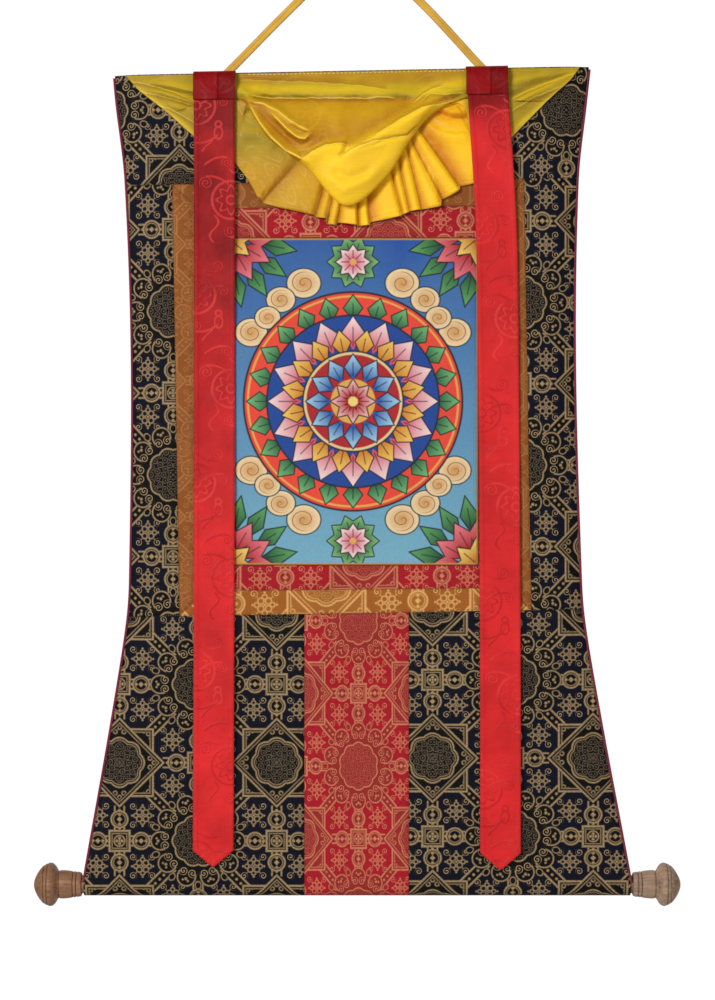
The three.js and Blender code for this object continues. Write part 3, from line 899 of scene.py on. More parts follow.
def panel(name, width, height, sides, origin, materials, hem=False, fold=False, turned=False):
    """A panel of the mount between four curved sides, with a rolled hem below or a fold over the top."""
    bottom, top, start, end = sides
    rolled = -1 + np.arange(30) / 30 if hem else []
    folded = 1 + np.arange(1, 17) / 8 if fold else []
    u, share = np.meshgrid(steps(width, 4.5), np.concatenate([rolled, steps(height, 4.5), folded]))
    x, z = panel_place(u, np.clip(share, 0, 1), bottom, top, start, end)
    far = np.full(u.shape, 99.0)
    from_side = np.minimum(u, 1 - u) * width
    from_below = far if hem else share * height
    from_above = far if fold else (1 - share) * height
    sink = seam(from_side, z)
    if hem:
        sink = sink * smoothstep(share * height, 0, 60)
    else:
        sink = sink + seam(from_below, x)
    if fold:
        sink = sink * (1 - smoothstep(share * height, height - 6, height))
    else:
        sink = sink + seam(from_above, x)
    y = drape(x, z) + sink
    level = z
    if hem:
        under = share < 0
        angle = lerp(HEM_END, HEM_START, -share)
        y = np.where(under, HEM_RADIUS * (1 + np.cos(angle)), y)
        z = np.where(under, ROD_LEVEL + HEM_RADIUS * np.sin(angle), z)
        level = np.where(under, ROD_LEVEL - HEM_RADIUS * (angle - HEM_END), level)
    if fold:
        turn = (MOUNT_CLOTH + GAP) / 2
        angle = math.pi * (2 - np.clip(share, 1, 2))
        behind = TOP_FOLD_DROP * np.clip(share - 2, 0, 1)
        over = share > 1
        z = np.where(over, z + turn * np.sin(angle) - behind, z)
        x = np.where(share > 2, lerp(left_inside(z), right_inside(z), u), x)
        y = np.where(over, drape(x, z) + turn * (1 + np.cos(angle)), y)
        level = z
    points = np.stack([x, y, z], axis=-1)
    design = on_design(origin, level, x) if turned else on_design(origin, x, level)
    edge = np.clip(np.minimum(from_side, np.minimum(from_below, from_above)), 0, 99) * MM
    return closed_sheet(name, points, MOUNT_CLOTH, np.stack(design, axis=-1), materials, edge=edge)


def strip(name, corners, origin, lean, materials, crown=0.5):
    """A flat four-cornered piece of the mount, a little crowned between its seams."""
    low_left, low_right, high_right, high_left = (np.array(c) for c in corners)
    width = np.linalg.norm(low_right - low_left + high_right - high_left) / 2
    height = np.linalg.norm(high_left - low_left + high_right - low_right) / 2
    u, v = np.meshgrid(steps(width, 4), steps(height, 4))
    low = lerp(low_left, low_right, u[..., None])
    high = lerp(high_left, high_right, u[..., None])
    x, z = np.moveaxis(lerp(low, high, v[..., None]), -1, 0)
    from_side = np.minimum(u, 1 - u) * width
    from_end = np.minimum(v, 1 - v) * height
    arch = (1 - (2 * u - 1) ** 4) * (1 - (2 * v - 1) ** 4)
    y = drape(x, z) + seam(from_side, z) + seam(from_end, x) - crown * arch
    design = on_design(origin, x, z - lean * (x - origin[0]))
    edge = np.minimum(from_side, from_end) * MM
    points = np.stack([x, y, z], axis=-1)
    return closed_sheet(name, points, MOUNT_CLOTH, np.stack(design, axis=-1), materials, edge=edge)


# The cord: a flattened tape from behind the left tab, over the hook and down behind the right tab
CORD_WIDTH = 9
CORD_THICKNESS = 5
CORD_ROUTE = [
    (-151, 8.2, -137), (-141.5, 8.2, -127.7), (-132, 7.4, -118.5), (-115, 4, -101.9),
    (-98, 0.6, -85.2), (-81, -1.4, -68.6), (-64, -2, -51.9), (-47, -2, -35.2),
    (-30, -2, -18.4), (-16, -2, -4.6), (-8.5, -2, 2.1), (0, -2, 4.35),
    (8.5, -2, 2.1), (16, -2, -4), (30, -2, -16.4), (47, -2, -31.7),
    (64, -2, -47.6), (81, -1.4, -64.4), (98, 0.6, -82.1), (115, 4, -99.9),
    (126, 7.4, -111.4), (136, 8.2, -121.9), (145, 8.2, -131.3),
]


def thread_curve(points, at):
    """Points on a smooth curve through the given ones, at places counted in spans."""
    points = np.vstack([2 * points[0] - points[1], points, 2 * points[-1] - points[-2]])
    span = np.clip(np.floor(at).astype(int), 0, len(points) - 4)
    t = (at - span)[:, None]
    p0, p1, p2, p3 = (points[span + k] for k in range(4))

    def apart(a, b):
        return np.maximum(np.sqrt(np.linalg.norm(b - a, axis=1, keepdims=True)), 1e-4)

    d0 = apart(p0, p1)
    d1 = apart(p1, p2)
    d2 = apart(p2, p3)
    leaving = ((p1 - p0) / d0 - (p2 - p0) / (d0 + d1) + (p2 - p1) / d1) * d1
    arriving = ((p2 - p1) / d1 - (p3 - p1) / (d1 + d2) + (p3 - p2) / d2) * d1
    return (
        p1 * (1 + 2 * t) * (1 - t) ** 2
        + leaving * t * (1 - t) ** 2
        + p2 * t * t * (3 - 2 * t)
        + arriving * t * t * (t - 1)
    )


def tape(name, route, width, thickness, material):
    """A flat tape in the plane of the cloth, folded along its middle, with rounded edges."""
    spans = len(route) - 1
    path = thread_curve(np.array(route, dtype=float), np.linspace(0, spans, spans * 8 + 1))
    along = np.gradient(path, axis=0)
    along /= np.linalg.norm(along, axis=1, keepdims=True)
    out = np.stack([-along[:, 2], np.zeros(len(path)), along[:, 0]], axis=1)
    out /= np.linalg.norm(out, axis=1, keepdims=True)
    sides = 24
    vertices = []
    places = []
    length = 0.0
    for k, (point, outward) in enumerate(zip(path, out)):
        length += np.linalg.norm(path[k] - path[k - 1]) if k else 0
        for i in range(sides):
            angle = math.tau * i / sides
            across = math.copysign(abs(math.cos(angle)) ** 0.8, math.cos(angle)) * width / 2
            depth = math.copysign(abs(math.sin(angle)) ** 0.8, math.sin(angle)) * thickness / 2
            crease = 1 - 0.3 * math.exp(-((across - 0.8) ** 2) / 0.5)
            vertices.append(point + outward * across + np.array((0, -depth * crease, 0)))
            places.append((length, across))
    mesh = ring_mesh(name, vertices, ring_faces(len(path), sides), material, 60)
    layer = mesh.uv_layers.new(name="design")
    for loop in mesh.loops:
        layer.data[loop.index].uv = places[loop.vertex_index]
    return add_piece(name, mesh), path * MM, length * MM


def tape_cloth(name):
    """Woven yellow tape with slanting threads."""
    finish = Finish(name, roughness=0.6, sheen=0.3, specular=0.4)
    tree = finish.tree
    along, across, _ = parts(tree, finish.design())
    rib = abs(((along + abs(across) * 0.8) * (math.pi / 1.5)).math("SINE"))
    cloudy = noise(tree, finish.place, 45, 3.0)
    base = mix(tree, (rib * 0.45 + cloudy * 0.8).ramp(0.25, 0.95), linear(190, 132, 26), linear(236, 186, 70))
    # Painted shade along the fold crease and towards both edges of the tape
    base = mix(tree, line(across - 0.8, 0.35, 0.3) * 0.45, base, linear(140, 96, 30))
    base = mix(tree, abs(across).ramp(3.4, 4.6) * 0.4, base, linear(150, 106, 36))
    finish.set("Base Color", base)
    finish.bump(rib, 0.0005, 0.6)
    return finish.material


cord_material = tape_cloth("cord_tape")
cord, cord_path, cord_length = tape("cord_tape", CORD_ROUTE, CORD_WIDTH, CORD_THICKNESS, cord_material)
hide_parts("cord")

# Brocades of the mount: the ground, the ground in the cells, the thread and the dull thread, then how
# strongly they show and whether it is the reverse
BROCADES = {
    "navy_brocade_front": ((4, 3, 4), (3, 6, 24), (172, 144, 104), (112, 95, 74), 1.0, False),
    "navy_brocade_reverse": ((20, 18, 22), (18, 24, 48), (90, 80, 62), (52, 48, 46), 0.7, True),
    "red_brocade_front": ((150, 40, 38), (166, 22, 36), (212, 132, 96), (186, 92, 72), 1.0, False),
    "red_brocade_reverse": ((128, 36, 34), (134, 26, 34), (160, 84, 66), (132, 52, 46), 0.7, True),
    "gold_brocade_front": ((166, 100, 42), (160, 92, 34), (232, 178, 104), (206, 146, 78), 1.0, False),
    "gold_brocade_side": ((146, 86, 40), (142, 80, 34), (178, 118, 62), (168, 108, 56), 0.8, False),
    "gold_brocade_reverse": ((130, 84, 42), (128, 80, 38), (160, 108, 60), (136, 90, 48), 0.7, True),
}
cloths = {}
for cloth_name, (*colours, contrast, reverse) in BROCADES.items():
    cloths[cloth_name] = brocade(cloth_name, *(linear(*colour) for colour in colours), contrast, reverse)
navy = [cloths["navy_brocade_front"], cloths["navy_brocade_reverse"]]
red = [cloths["red_brocade_front"], cloths["red_brocade_reverse"]]
gold = [cloths["gold_brocade_front"], cloths["gold_brocade_reverse"]]
gold_dim = [cloths["gold_brocade_side"], cloths["gold_brocade_reverse"]]

# Where the woven repeat lies on each panel: a star's middle, and the repeat across and up
DESIGNS = {
    "panel_top": (-195.2, -259.6, 170.2, 176),
    "panel_side_left": (-287.6, -303, 170.5, 179.9),
    "panel_side_right": (266.2, -293.7, 172.7, 179),
    "panel_lower_left": (-88.3, -889.4, 172.9, 172.2),
    "panel_door": (-973.2, -63.3, 160, 129.8),
    "panel_lower_right": (83.1, -884.4, 176.6, 172.2),
    "border_gold_bottom": (-33.6, -685.3, 201, 201),
    "border_gold_top": (-33.6, -290, 201, 201),
    "border_gold_left": (-230, -470, 150, 150),
    "border_gold_right": (215, -470, 150, 150),
    "border_red_bottom": (7.3, -661.1, 172.2, 172),
    "border_red_top": (34.1, -317.9, 170.5, 172),
    "border_red_left": (-200, -480, 172, 172),
    "border_red_right": (190, -480, 172, 172),
}


def level_rod(_):
    return ROD_LEVEL


def door_left(_):
    return DOOR_LEFT


def door_right(_):
    return DOOR_RIGHT


def top_crest(x):
    return top_edge(x) - MOUNT_CLOTH / 2 - (MOUNT_CLOTH + GAP) / 2


# The panels: width, height, the bottom, top, left and right sides, the cloth, and how the ends are made
PANELS = {
    "top": (510, 119, (upper_seam, top_crest, left_inside, right_inside), navy, {"fold": True}),
    "side_left": (55, 475, (lower_seam, upper_seam, left_inside, gold_left), navy, {}),
    "side_right": (55, 475, (lower_seam, upper_seam, gold_right, right_inside), navy, {}),
    "lower_left": (230, 297, (level_rod, lower_seam, left_inside, door_left), navy, {"hem": True}),
    "door": (115, 297, (level_rod, lower_seam, door_left, door_right), red, {"hem": True, "turned": True}),
    "lower_right": (230, 297, (level_rod, lower_seam, door_right, right_inside), navy, {"hem": True}),
}
for place, (width, height, bounds, cloth, ends) in PANELS.items():
    node = f"panel_{place}"
    panel(f"mount_{place}", width, height, bounds, DESIGNS[node], cloth, **ends)

# The strips of the two frames and the painted cloth
gold_corners = corners_of(GOLD_FRAME)
red_corners = corners_of(RED_FRAME)
canvas_corners = corners_of(CANVAS)


def frame_strips(colour, outer, inner, lean, finishes):
    """The four mitred strips between two rectangles."""
    shapes = {
        "bottom": (outer[0], outer[1], inner[1], inner[0]),
        "right": (inner[1], outer[1], outer[2], inner[2]),
        "top": (inner[3], inner[2], outer[2], outer[3]),
        "left": (outer[0], inner[0], inner[3], outer[3]),
    }
    for side, shape in shapes.items():
        node = f"border_{colour}_{side}"
        strip(f"strip_{colour}_{side}", shape, DESIGNS[node], lean, finishes[side])


gold_sides = {"bottom": gold, "right": gold_dim, "left": gold_dim, "top": gold_dim}
frame_strips("gold", gold_corners, red_corners, GOLD_FRAME[4], gold_sides)
frame_strips("red", red_corners, canvas_corners, RED_FRAME[4], {side: red for side in gold_sides})
canvas_front = painting("painted_cloth")
canvas_back = plain_cloth("canvas_reverse", linear(196, 184, 160), linear(222, 212, 190))
half_height = CANVAS[3] / 2
canvas_origin = (CANVAS[0], CANVAS[1], half_height, half_height)
canvas_faces = [canvas_front, canvas_back]
strip("canvas_painting", canvas_corners, canvas_origin, 0, canvas_faces, 0.3)

# The veil. Each row follows one thread: its place on the top edge, how far it doubles back, then the front of
# the swag, the tuck behind it and the hem, each across, deep and up
VEIL = [
    (-254, 0, -206, -3.5, -177, -152, -4, -226, -110, -4.5, -269),
    (-211, 0, -173, -4.5, -167, -131, -5, -216, -89, -5, -278),
    (-167, 0, -144, -5.5, -161, -125, -5.5, -191, -67, -6.5, -285),
    (-131, 0.5, -124, -8, -163, -119, -5.5, -165, -45, -8, -290),
    (-110, 0.9, -112, -12, -182, -99, -6.5, -172, -36, -8, -292),
    (-85, 1, -95, -16, -206, -79, -7.5, -178, -28, -8, -294),
    (-46, 1, -54, -20, -238, -41, -8.5, -187, -14, -8, -297),
    (-8, 1, -13, -23, -279, -6, -8.5, -190, 0, -8, -299),
    (36, 1, 30, -21, -250, 31, -8.5, -187, 16, -8, -296),
    (80, 1, 64, -16, -198, 67, -7.5, -178, 43, -8, -287),
    (100, 0.9, 85, -12, -176, 89, -6.5, -171, 58, -8, -282),
    (119, 0.5, 114, -8, -161, 111, -5.5, -164, 75, -8, -277),
    (163, 0, 143, -5.5, -161, 126, -5.5, -188, 98, -6, -268),
    (207, 0, 179, -4.5, -163, 148, -5, -202, 114, -5, -257),
    (245, 0, 208, -3.5, -163, 170, -4, -202, 129, -4, -245),
]
VEIL_SEAM_DROP = 1.5
VEIL_BAND = 24
VEIL_BAND_SHARE = 0.35
VEIL_BULGE = 5
VEIL_TURN = 2.6
VEIL_EASE = 0.15
VEIL_SPAN_ROWS = (9, 14, 56, 4, 4, 10, 4, 4, 56)
VEIL_COLUMNS = 300
# The folds between the pleats: across and up at the top and at the hem, then the hem's level to the right of
# the fold and at the next one, and how far the pleat swells
PLEATS = [
    (-150, -216, -124, -271, -262, -270, 2.0),
    (-70, -232, -102, -268, -274, -288, 5.0),
    (-37, -258, -46, -286, -290, -292, 6.0),
    (-27, -266, -33, -291, -298, -299, 5.5),
    (-18, -277, -23, -299, -296, -299, 6.5),
    (0, -273, 1, -295, -300, -299, 5.5),
    (11, -271, 14, -295, -296, -289, 7.0),
    (37, -242, 49.5, -288, -288, -285, 7.0),
    (45, -229, 57, -284, -284, -282, 6.0),
    (54, -214, 70, -281, -282, -278, 7.0),
    (59.5, -207, 92, -270, -271, -260, 7.0),
    (67, -194, 113, -258, -256, -250, 6.0),
    (120, -180, 156, -255, -250, -246, 2.0),
]
PLEAT_EDGE = 2.8


def veil_points(place):
    """The points that one thread of the veil passes through."""
    fold, *rest = (smooth_value(VEIL, column, place) for column in range(1, 11))
    sewn_depth = -MOUNT_CLOTH / 2 - GAP - VEIL_CLOTH / 2
    top = np.array((place, sewn_depth, top_edge(place) - VEIL_SEAM_DROP))
    front = np.array(rest[0:3])
    tuck = np.array(rest[3:6])
    hem = np.array(rest[6:9])
    band = lerp(top, front, 0.27)
    band[2] = top[2] - min(VEIL_BAND, VEIL_BAND_SHARE * (top[2] - front[2]))
    bulge = lerp(band, front, 0.55)
    bulge[1] = front[1] - VEIL_BULGE * fold
    turn = VEIL_TURN * fold
    easing = VEIL_EASE * (1 - fold)

    def beside(point, after, deep, up):
        return lerp(point, after, easing) + np.array((0, deep, up))

    return np.array(
        [
            top,
            band,
            bulge,
            beside(front, bulge, -turn, turn),
            front,
            beside(front, tuck, turn, turn),
            beside(tuck, front, -turn, -turn),
            tuck,
            beside(tuck, hem, 0.6 * turn, -turn),
            hem,
        ]
    )


# Creases placed on the front of the swag and on the single cloth at its sides: height, width above
# the line, width below it, and the line itself, across and up
CREASES = [
    (1.8, 6, 2.5, [(-122, -155), (-108, -152), (-94, -156), (-76, -153), (-58, -156), (-38, -154.5)]),
    (1.8, 6, 2.5, [(-44, -155), (-22, -157), (0, -154), (22, -157), (44, -154), (70, -158)]),
    (-2.8, 2.2, 8, [(-116, -160), (-100, -158), (-84, -161), (-63, -160), (-40, -162), (-22, -160)]),
    (-2.8, 2.2, 8, [(-24, -161), (0, -160), (22, -163), (47, -160), (72, -164)]),
    (2.2, 2.5, 6, [(64, -163), (76, -154), (90, -150), (116, -157)]),
    (4.0, 3, 3, [(-119, -166), (-106, -189), (-94, -204), (-77, -220), (-59, -229), (-50, -236)]),
    (-3.2, 5, 3.5, [(-112, -168), (-98, -184), (-85, -198), (-70, -212), (-60, -220)]),
    (3.4, 3.5, 2.5, [(-124, -163), (-101, -167), (-86, -176), (-73, -187), (-59, -195), (-51, -199)]),
    (2.6, 2.5, 2.5, [(-94, -176), (-85, -187), (-76, -197), (-65, -205), (-57, -207), (-51, -200)]),
    (-2.2, 2, 3.5, [(-92, -183), (-78, -201), (-60, -213), (-47, -205)]),
    (4.4, 2, 13, [(-62, -230), (-48, -221), (-34, -214.5), (-22, -212.5), (-10, -213)]),
    (-2.2, 8, 2, [(-54, -217), (-36, -209), (-10, -207)]),
    (4.4, 2, 10, [(-20, -229), (0, -214), (20, -203), (50, -184), (71, -172), (107, -164), (118, -158)]),
    (-2.2, 9, 2.5, [(0, -208), (20, -196), (47, -178), (68, -166)]),
    (-1.8, 2, 2.5, [(-4, -220), (27, -209), (55, -203), (68, -191)]),
    (-2.4, 2.5, 2.5, [(-11, -214), (-12, -220), (-20, -229)]),
    (1.8, 6, 6, [(-40, -244), (-14, -262), (10, -252), (36, -228)]),
    (-1.6, 5, 5, [(-30, -240), (-8, -250), (20, -240)]),
    (2.2, 12, 12, [(-30, -176), (4, -184), (40, -178)]),
    (1.6, 6, 9, [(-42, -168), (-22, -188), (-14, -204)]),
    (2.4, 4, 4, [(-248, -138), (-190, -149), (-132, -160)]),
    (-2.0, 3.5, 3.5, [(-240, -142), (-185, -156), (-132, -166)]),
    (2.4, 4, 4.5, [(-238, -146), (-180, -164), (-132, -174)]),
    (-1.6, 3.5, 3.5, [(-226, -152), (-178, -172), (-140, -180)]),
    (1.8, 4, 4, [(-208, -164), (-175, -178), (-140, -187)]),
    (3.0, 2.5, 8, [(246, -129), (203, -150), (163, -171)]),
    (-2.0, 6, 2.5, [(243, -128), (200, -144), (160, -162)]),
    (1.4, 5, 5, [(236, -127), (200, -135), (160, -145)]),
]
# Creases of the cloth that hangs behind the swag
FAN_CREASES = [
    (3.0, 3, 4, [(88, -168), (104, -175), (122, -176)]),
    (-2.4, 3, 4, [(84, -174), (104, -182), (124, -183)]),
    (3.2, 2.5, 10, [(74, -186), (91, -198), (108, -201), (126, -199)]),
    (1.6, 4, 4, [(-134, -172), (-112, -166)]),
    (-1.6, 3, 3, [(-134, -178), (-112, -172)]),
    (1.4, 6, 8, [(-132, -196), (-104, -200), (-86, -212)]),
]
# Strokes of painted highlight and painted shade on the silk: amount, width above, width below, and the line
PAINTED_STROKES = [
    (0.16, 5, 4, [(-128, -149), (-60, -149), (-8, -151), (30, -152)]),
    (0.24, 7, 6, [(66, -154), (96, -144), (122, -138)]),
    (-0.1, 4, 4, [(-108, -172), (-90, -194), (-66, -214)]),
    (0.3, 2.2, 2.2, [(-118, -168), (-106, -189), (-94, -204), (-77, -219), (-59, -228)]),
    (0.3, 2.5, 2.5, [(-112, -165), (-101, -167), (-86, -176), (-73, -187), (-59, -195), (-52, -198)]),
    (0.25, 2.2, 2.2, [(-94, -177), (-85, -187), (-76, -197), (-65, -205), (-57, -207), (-52, -201)]),
    (-0.2, 1.6, 1.6, [(-4, -219), (27, -209), (55, -203), (68, -191)]),
    (0.2, 8, 8, [(-40, -228), (-26, -232), (-14, -236)]),
    (0.35, 3, 3, [(-250, -141), (-205, -176), (-160, -216)]),
    (0.35, 3, 3, [(244, -133), (210, -160), (168, -198)]),
]
# The line below which the swag's lower flap lies, bright in the light
FLAP_ACROSS = (-62, -48, -34, -22, -10, 0, 20, 50, 71, 107, 118)
FLAP_LEVEL = (-230, -221, -214.5, -213, -214, -214, -203, -184, -172, -164, -158)


def crease(points, height, above, below, route):
    """How far a soft ridge along a line lifts each point."""
    route = np.array(route, dtype=float)
    if route[0, 0] > route[-1, 0]:
        route = route[::-1]
    flat = points[..., ::2]
    nearest = np.full(flat.shape[:-1], 1e9)
    share = np.zeros(flat.shape[:-1])
    higher = np.zeros(flat.shape[:-1])
    total = len(route) - 1
    for k in range(total):
        run = route[k + 1] - route[k]
        off = flat - route[k]
        t = np.clip((off @ run) / (run @ run), 0, 1)
        distance = np.linalg.norm(off - t[..., None] * run, axis=-1)
        closer = distance < nearest
        nearest = np.where(closer, distance, nearest)
        share = np.where(closer, (k + t) / total, share)
        higher = np.where(closer, run[0] * off[..., 1] - run[1] * off[..., 0], higher)
    width = np.where(higher > 0, above, below)
    fade = smoothstep(share, 0, 0.2) * (1 - smoothstep(share, 0.82, 1)) * 0.8 + 0.2
    return height * fade * np.exp(-((nearest / width) ** 2))


def soften(values):
    """A small blur over a grid of values."""
    for axis in (0, 1):
        ahead = np.roll(values, 1, axis)
        behind = np.roll(values, -1, axis)
        values = 0.5 * values + 0.25 * (ahead + behind)
    return values


def pleat_at(across, level):
    """Each point's pleat, how far across it lies, and how clear it is of the edge over the next one."""
    folds = []
    for top_x, top_z, low_x, low_z, *_ in PLEATS:
        held = np.clip(level, low_z - 12, top_z + 12)
        folds.append(lerp(top_x, low_x, (held - top_z) / (low_z - top_z)))
    folds = np.maximum.accumulate(np.array(folds), axis=0)
    which = np.clip(np.sum(folds <= across, axis=0) - 1, 0, len(PLEATS) - 2)
    start = np.take_along_axis(folds, which[None], 0)[0]
    end = np.take_along_axis(folds, which[None] + 1, 0)[0]
    within = np.clip((across - start) / np.maximum(end - start, 0.5), 0, 1)
    return np.array(PLEATS)[which], within, smoothstep(end - across, 0, PLEAT_EDGE)


def veil():
    """The veil, one sheet from the sewn edge to the pleated hem."""
    spans = len(VEIL_SPAN_ROWS)
    stops = [span + np.arange(count) / count for span, count in enumerate(VEIL_SPAN_ROWS)]
    at = np.concatenate(stops + [[spans]])[::-1]
    shares = np.linspace(0, 1, VEIL_COLUMNS + 1)
    columns = [thread_curve(veil_points(lerp(VEIL[0][0], VEIL[-1][0], u)), at) for u in shares]
    points = np.stack(columns, axis=1)
    lengths = np.linalg.norm(np.diff(points[::-1], axis=0), axis=2)
    run = np.vstack([np.zeros(len(shares)), np.cumsum(lengths, axis=0)])[::-1]
    rows = at[:, None]

    # The side edge on the left bows out before it reaches the hem
    falling = np.clip(rows - 7, 0, 2) / 2
    bow = np.sin(np.pi * np.clip(falling, 0, 1)) * (1 - smoothstep(shares, 0, 0.12))
    points[..., 0] += 5 * bow
    points[..., 2] += 7 * bow

    # Each pleat swells from the fold on its left to a sharp edge over the next one, and opens towards the hem
    across = points[..., 0]
    level = points[..., 2]
    hem_level = np.broadcast_to(level[0], level.shape)
    numbers, within, _ = pleat_at(across, level)
    target = lerp(numbers[..., 4], numbers[..., 5], within)
    points[..., 2] += (target - hem_level) * smoothstep(rows, 7.6, 9.0)
    numbers, within, sharp = pleat_at(across, points[..., 2])
    swell = numbers[..., 6]
    rise = 1 - (1 - within) ** 2.4
    open_share = smoothstep(rows, 7.0, 8.6)
    points[..., 1] += soften(swell * (0.45 - rise * sharp)) * open_share

    # Creases of the swag and of the sides, then of the cloth behind the swag
    swag = smoothstep(rows, 0.3, 1.0) * (1 - smoothstep(rows, 3.4, 4.0))
    behind = smoothstep(rows, 6.6, 7.2)
    raised = sum(crease(points, *line_of) for line_of in CREASES) * swag
    raised = raised + sum(crease(points, *line_of) for line_of in FAN_CREASES) * behind
    points[..., 1] -= raised

    # Painted light and shade: darker at the top and the sides, bright on the lower flap of the swag and on
    # the pleats, dark in the pleats' folds and behind the swag, lighter on ridges and on faces turned up and
    # to the left, and a painted warm glow in the swag and the pleats
    level = points[..., 2]
    across = points[..., 0]
    normal = np.cross(np.gradient(points, axis=1), np.gradient(points, axis=0))
    normal /= np.maximum(np.linalg.norm(normal, axis=2, keepdims=True), 1e-9)
    painted_facing_light = 0.5 * normal[..., 2] - 0.2 * normal[..., 0] + 0.03 * raised
    hanging = smoothstep(rows, 5.6, 7.0)
    painted_upper_tone = np.interp(-level, (128, 140, 146, 156, 160, 215), (0.06, 0.08, 0.24, 0.24, 0.06, 0.12))
    below_flap = smoothstep(np.interp(across, FLAP_ACROSS, FLAP_LEVEL) - level, -1, 2)
    painted_swag_tone = lerp(painted_upper_tone, 0.84, below_flap)
    beside = smoothstep(np.abs(across + 4), 112, 134)
    painted_strokes = sum(crease(points, *line_of) for line_of in PAINTED_STROKES)
    painted_front_tone = lerp(painted_swag_tone, 0.16, beside)
    rightward = smoothstep(across, -60, 20)
    brightest = lerp(0.3, 1.0, rightward)
    painted_pleat_tone = soften(lerp(0.0, brightest, smoothstep(within, -0.05, 0.55)))
    painted_pleat_tone = np.where((swell < 3) & (across < 0), 0.24, painted_pleat_tone)
    lowered = np.where(across < 0, smoothstep(-level, 205, 250), smoothstep(-level, 175, 205))
    painted_fan_tone = lerp(lerp(0.14, 0.5, smoothstep(across, 60, 100)), painted_pleat_tone, lowered)
    tone = np.clip(lerp(painted_front_tone, painted_fan_tone, hanging) + painted_strokes + painted_facing_light, 0, 1)
    in_swag = smoothstep(-level, 158, 162) + 0.6 * smoothstep(level, -146, -140)
    in_fan = np.maximum(lowered * lerp(0.45, 1, rightward), smoothstep(across, 50, 90))
    warm = lerp(in_swag * (1 - beside) * 0.5, in_fan, hanging)
    design = np.stack([np.broadcast_to(points[-1, :, 0] / 44, level.shape), -run / 44], axis=-1)
    hem_distance = run[0] - run
    side_distance = np.minimum(shares, 1 - shares)[None, :] * 499
    edge = np.minimum(hem_distance, side_distance) * MM
    return closed_sheet(
        "veil_silk", points, VEIL_CLOTH, design, [veil_material], edge=edge, tone=tone, warm=warm, fan=hanging
    )


# Crisp lines of painted highlight and painted shade on the swag and the sides: highlight, shade, how far the
# shade reaches up or down, and the line
VEIL_PAINTED_LINES = [
    (0.2, 0.5, 8, [(-128, -139), (-100, -140), (-60, -141.5), (-20, -144), (10, -147), (34, -151)]),
    (0.5, 0.55, -6, [(-116, -158), (-90, -159), (-58, -160), (-20, -160), (10, -160), (42, -159)]),
    (0.6, 0.5, 5, [(62, -165), (72, -156), (82, -150), (95, -146)]),
    (0.3, 0.5, -5, [(72, -163), (80, -155), (96, -157), (118, -154)]),
    (0.75, 0.35, 7, [(-118, -167), (-106, -189), (-94, -204.5), (-77, -220), (-59, -229)]),
    (0.6, 0.3, 5, [(-114, -166), (-101, -167.5), (-86, -176), (-73, -187), (-59, -195), (-52, -198)]),
    (0.6, 0.4, -5, [(-94, -177), (-85, -187), (-76, -197), (-65, -205), (-57, -207), (-52, -202)]),
    (0.7, 0.5, 5, [(-60, -229), (-48, -221), (-34, -214.5), (-22, -212.5), (-11, -213)]),
    (0.7, 0.4, 4, [(-19, -229), (-9, -222), (3, -215), (27, -208), (55, -203), (67, -192)]),
    (0.5, 0.35, 6, [(20, -203), (50, -184), (71, -172), (107, -164), (118, -158)]),
    (0.3, 0.5, -5, [(-251, -140), (-214, -148), (-178, -162)]),
    (0.3, 0.5, -5, [(-239, -152), (-208, -159), (-178, -168)]),
    (0.3, 0.4, -6, [(-228, -164), (-205, -171), (-178, -186)]),
    (0.3, 0.4, -5, [(170, -160), (205, -144), (238, -132)]),
    (0.3, 0.4, -6, [(168, -174), (196, -158), (224, -146)]),
]
veil_material = silk(
    "veil_damask",
    (linear(142, 116, 12), linear(196, 106, 2), linear(255, 214, 40), linear(255, 198, 26)),
    (linear(160, 120, 18), linear(250, 216, 90)),
    0.08,
    0.34,
    0.06,
    0.2,
    (VEIL_PAINTED_LINES, PLEATS),
)
veil()

# The ribbons: level, middle and depth, from the tip up
RIBBON_WIDTH = 44
RIBBON_POINT = 19
RIBBONS = {
    "left": [
        (-1004, -158, -5.5),
        (-700, -157, -5),
        (-340, -156.5, -5),
        (-250, -156.5, -9.5),
        (-170, -156.5, -11.5),
        (-138, -156.5, -11),
    ],
    "right": [
        (-1007, 157.5, -5.5),
        (-700, 157, -5),
        (-340, 154, -5),
        (-250, 150, -9.5),
        (-170, 144.5, -11.5),
        (-132, 142.5, -11),
    ],
}
# Sharp cross folds: level and depth
RIBBON_FOLDS = {"left": ((-666, 0.5), (-682, -0.4)), "right": ((-640, 0.3), (-880, 0.3))}


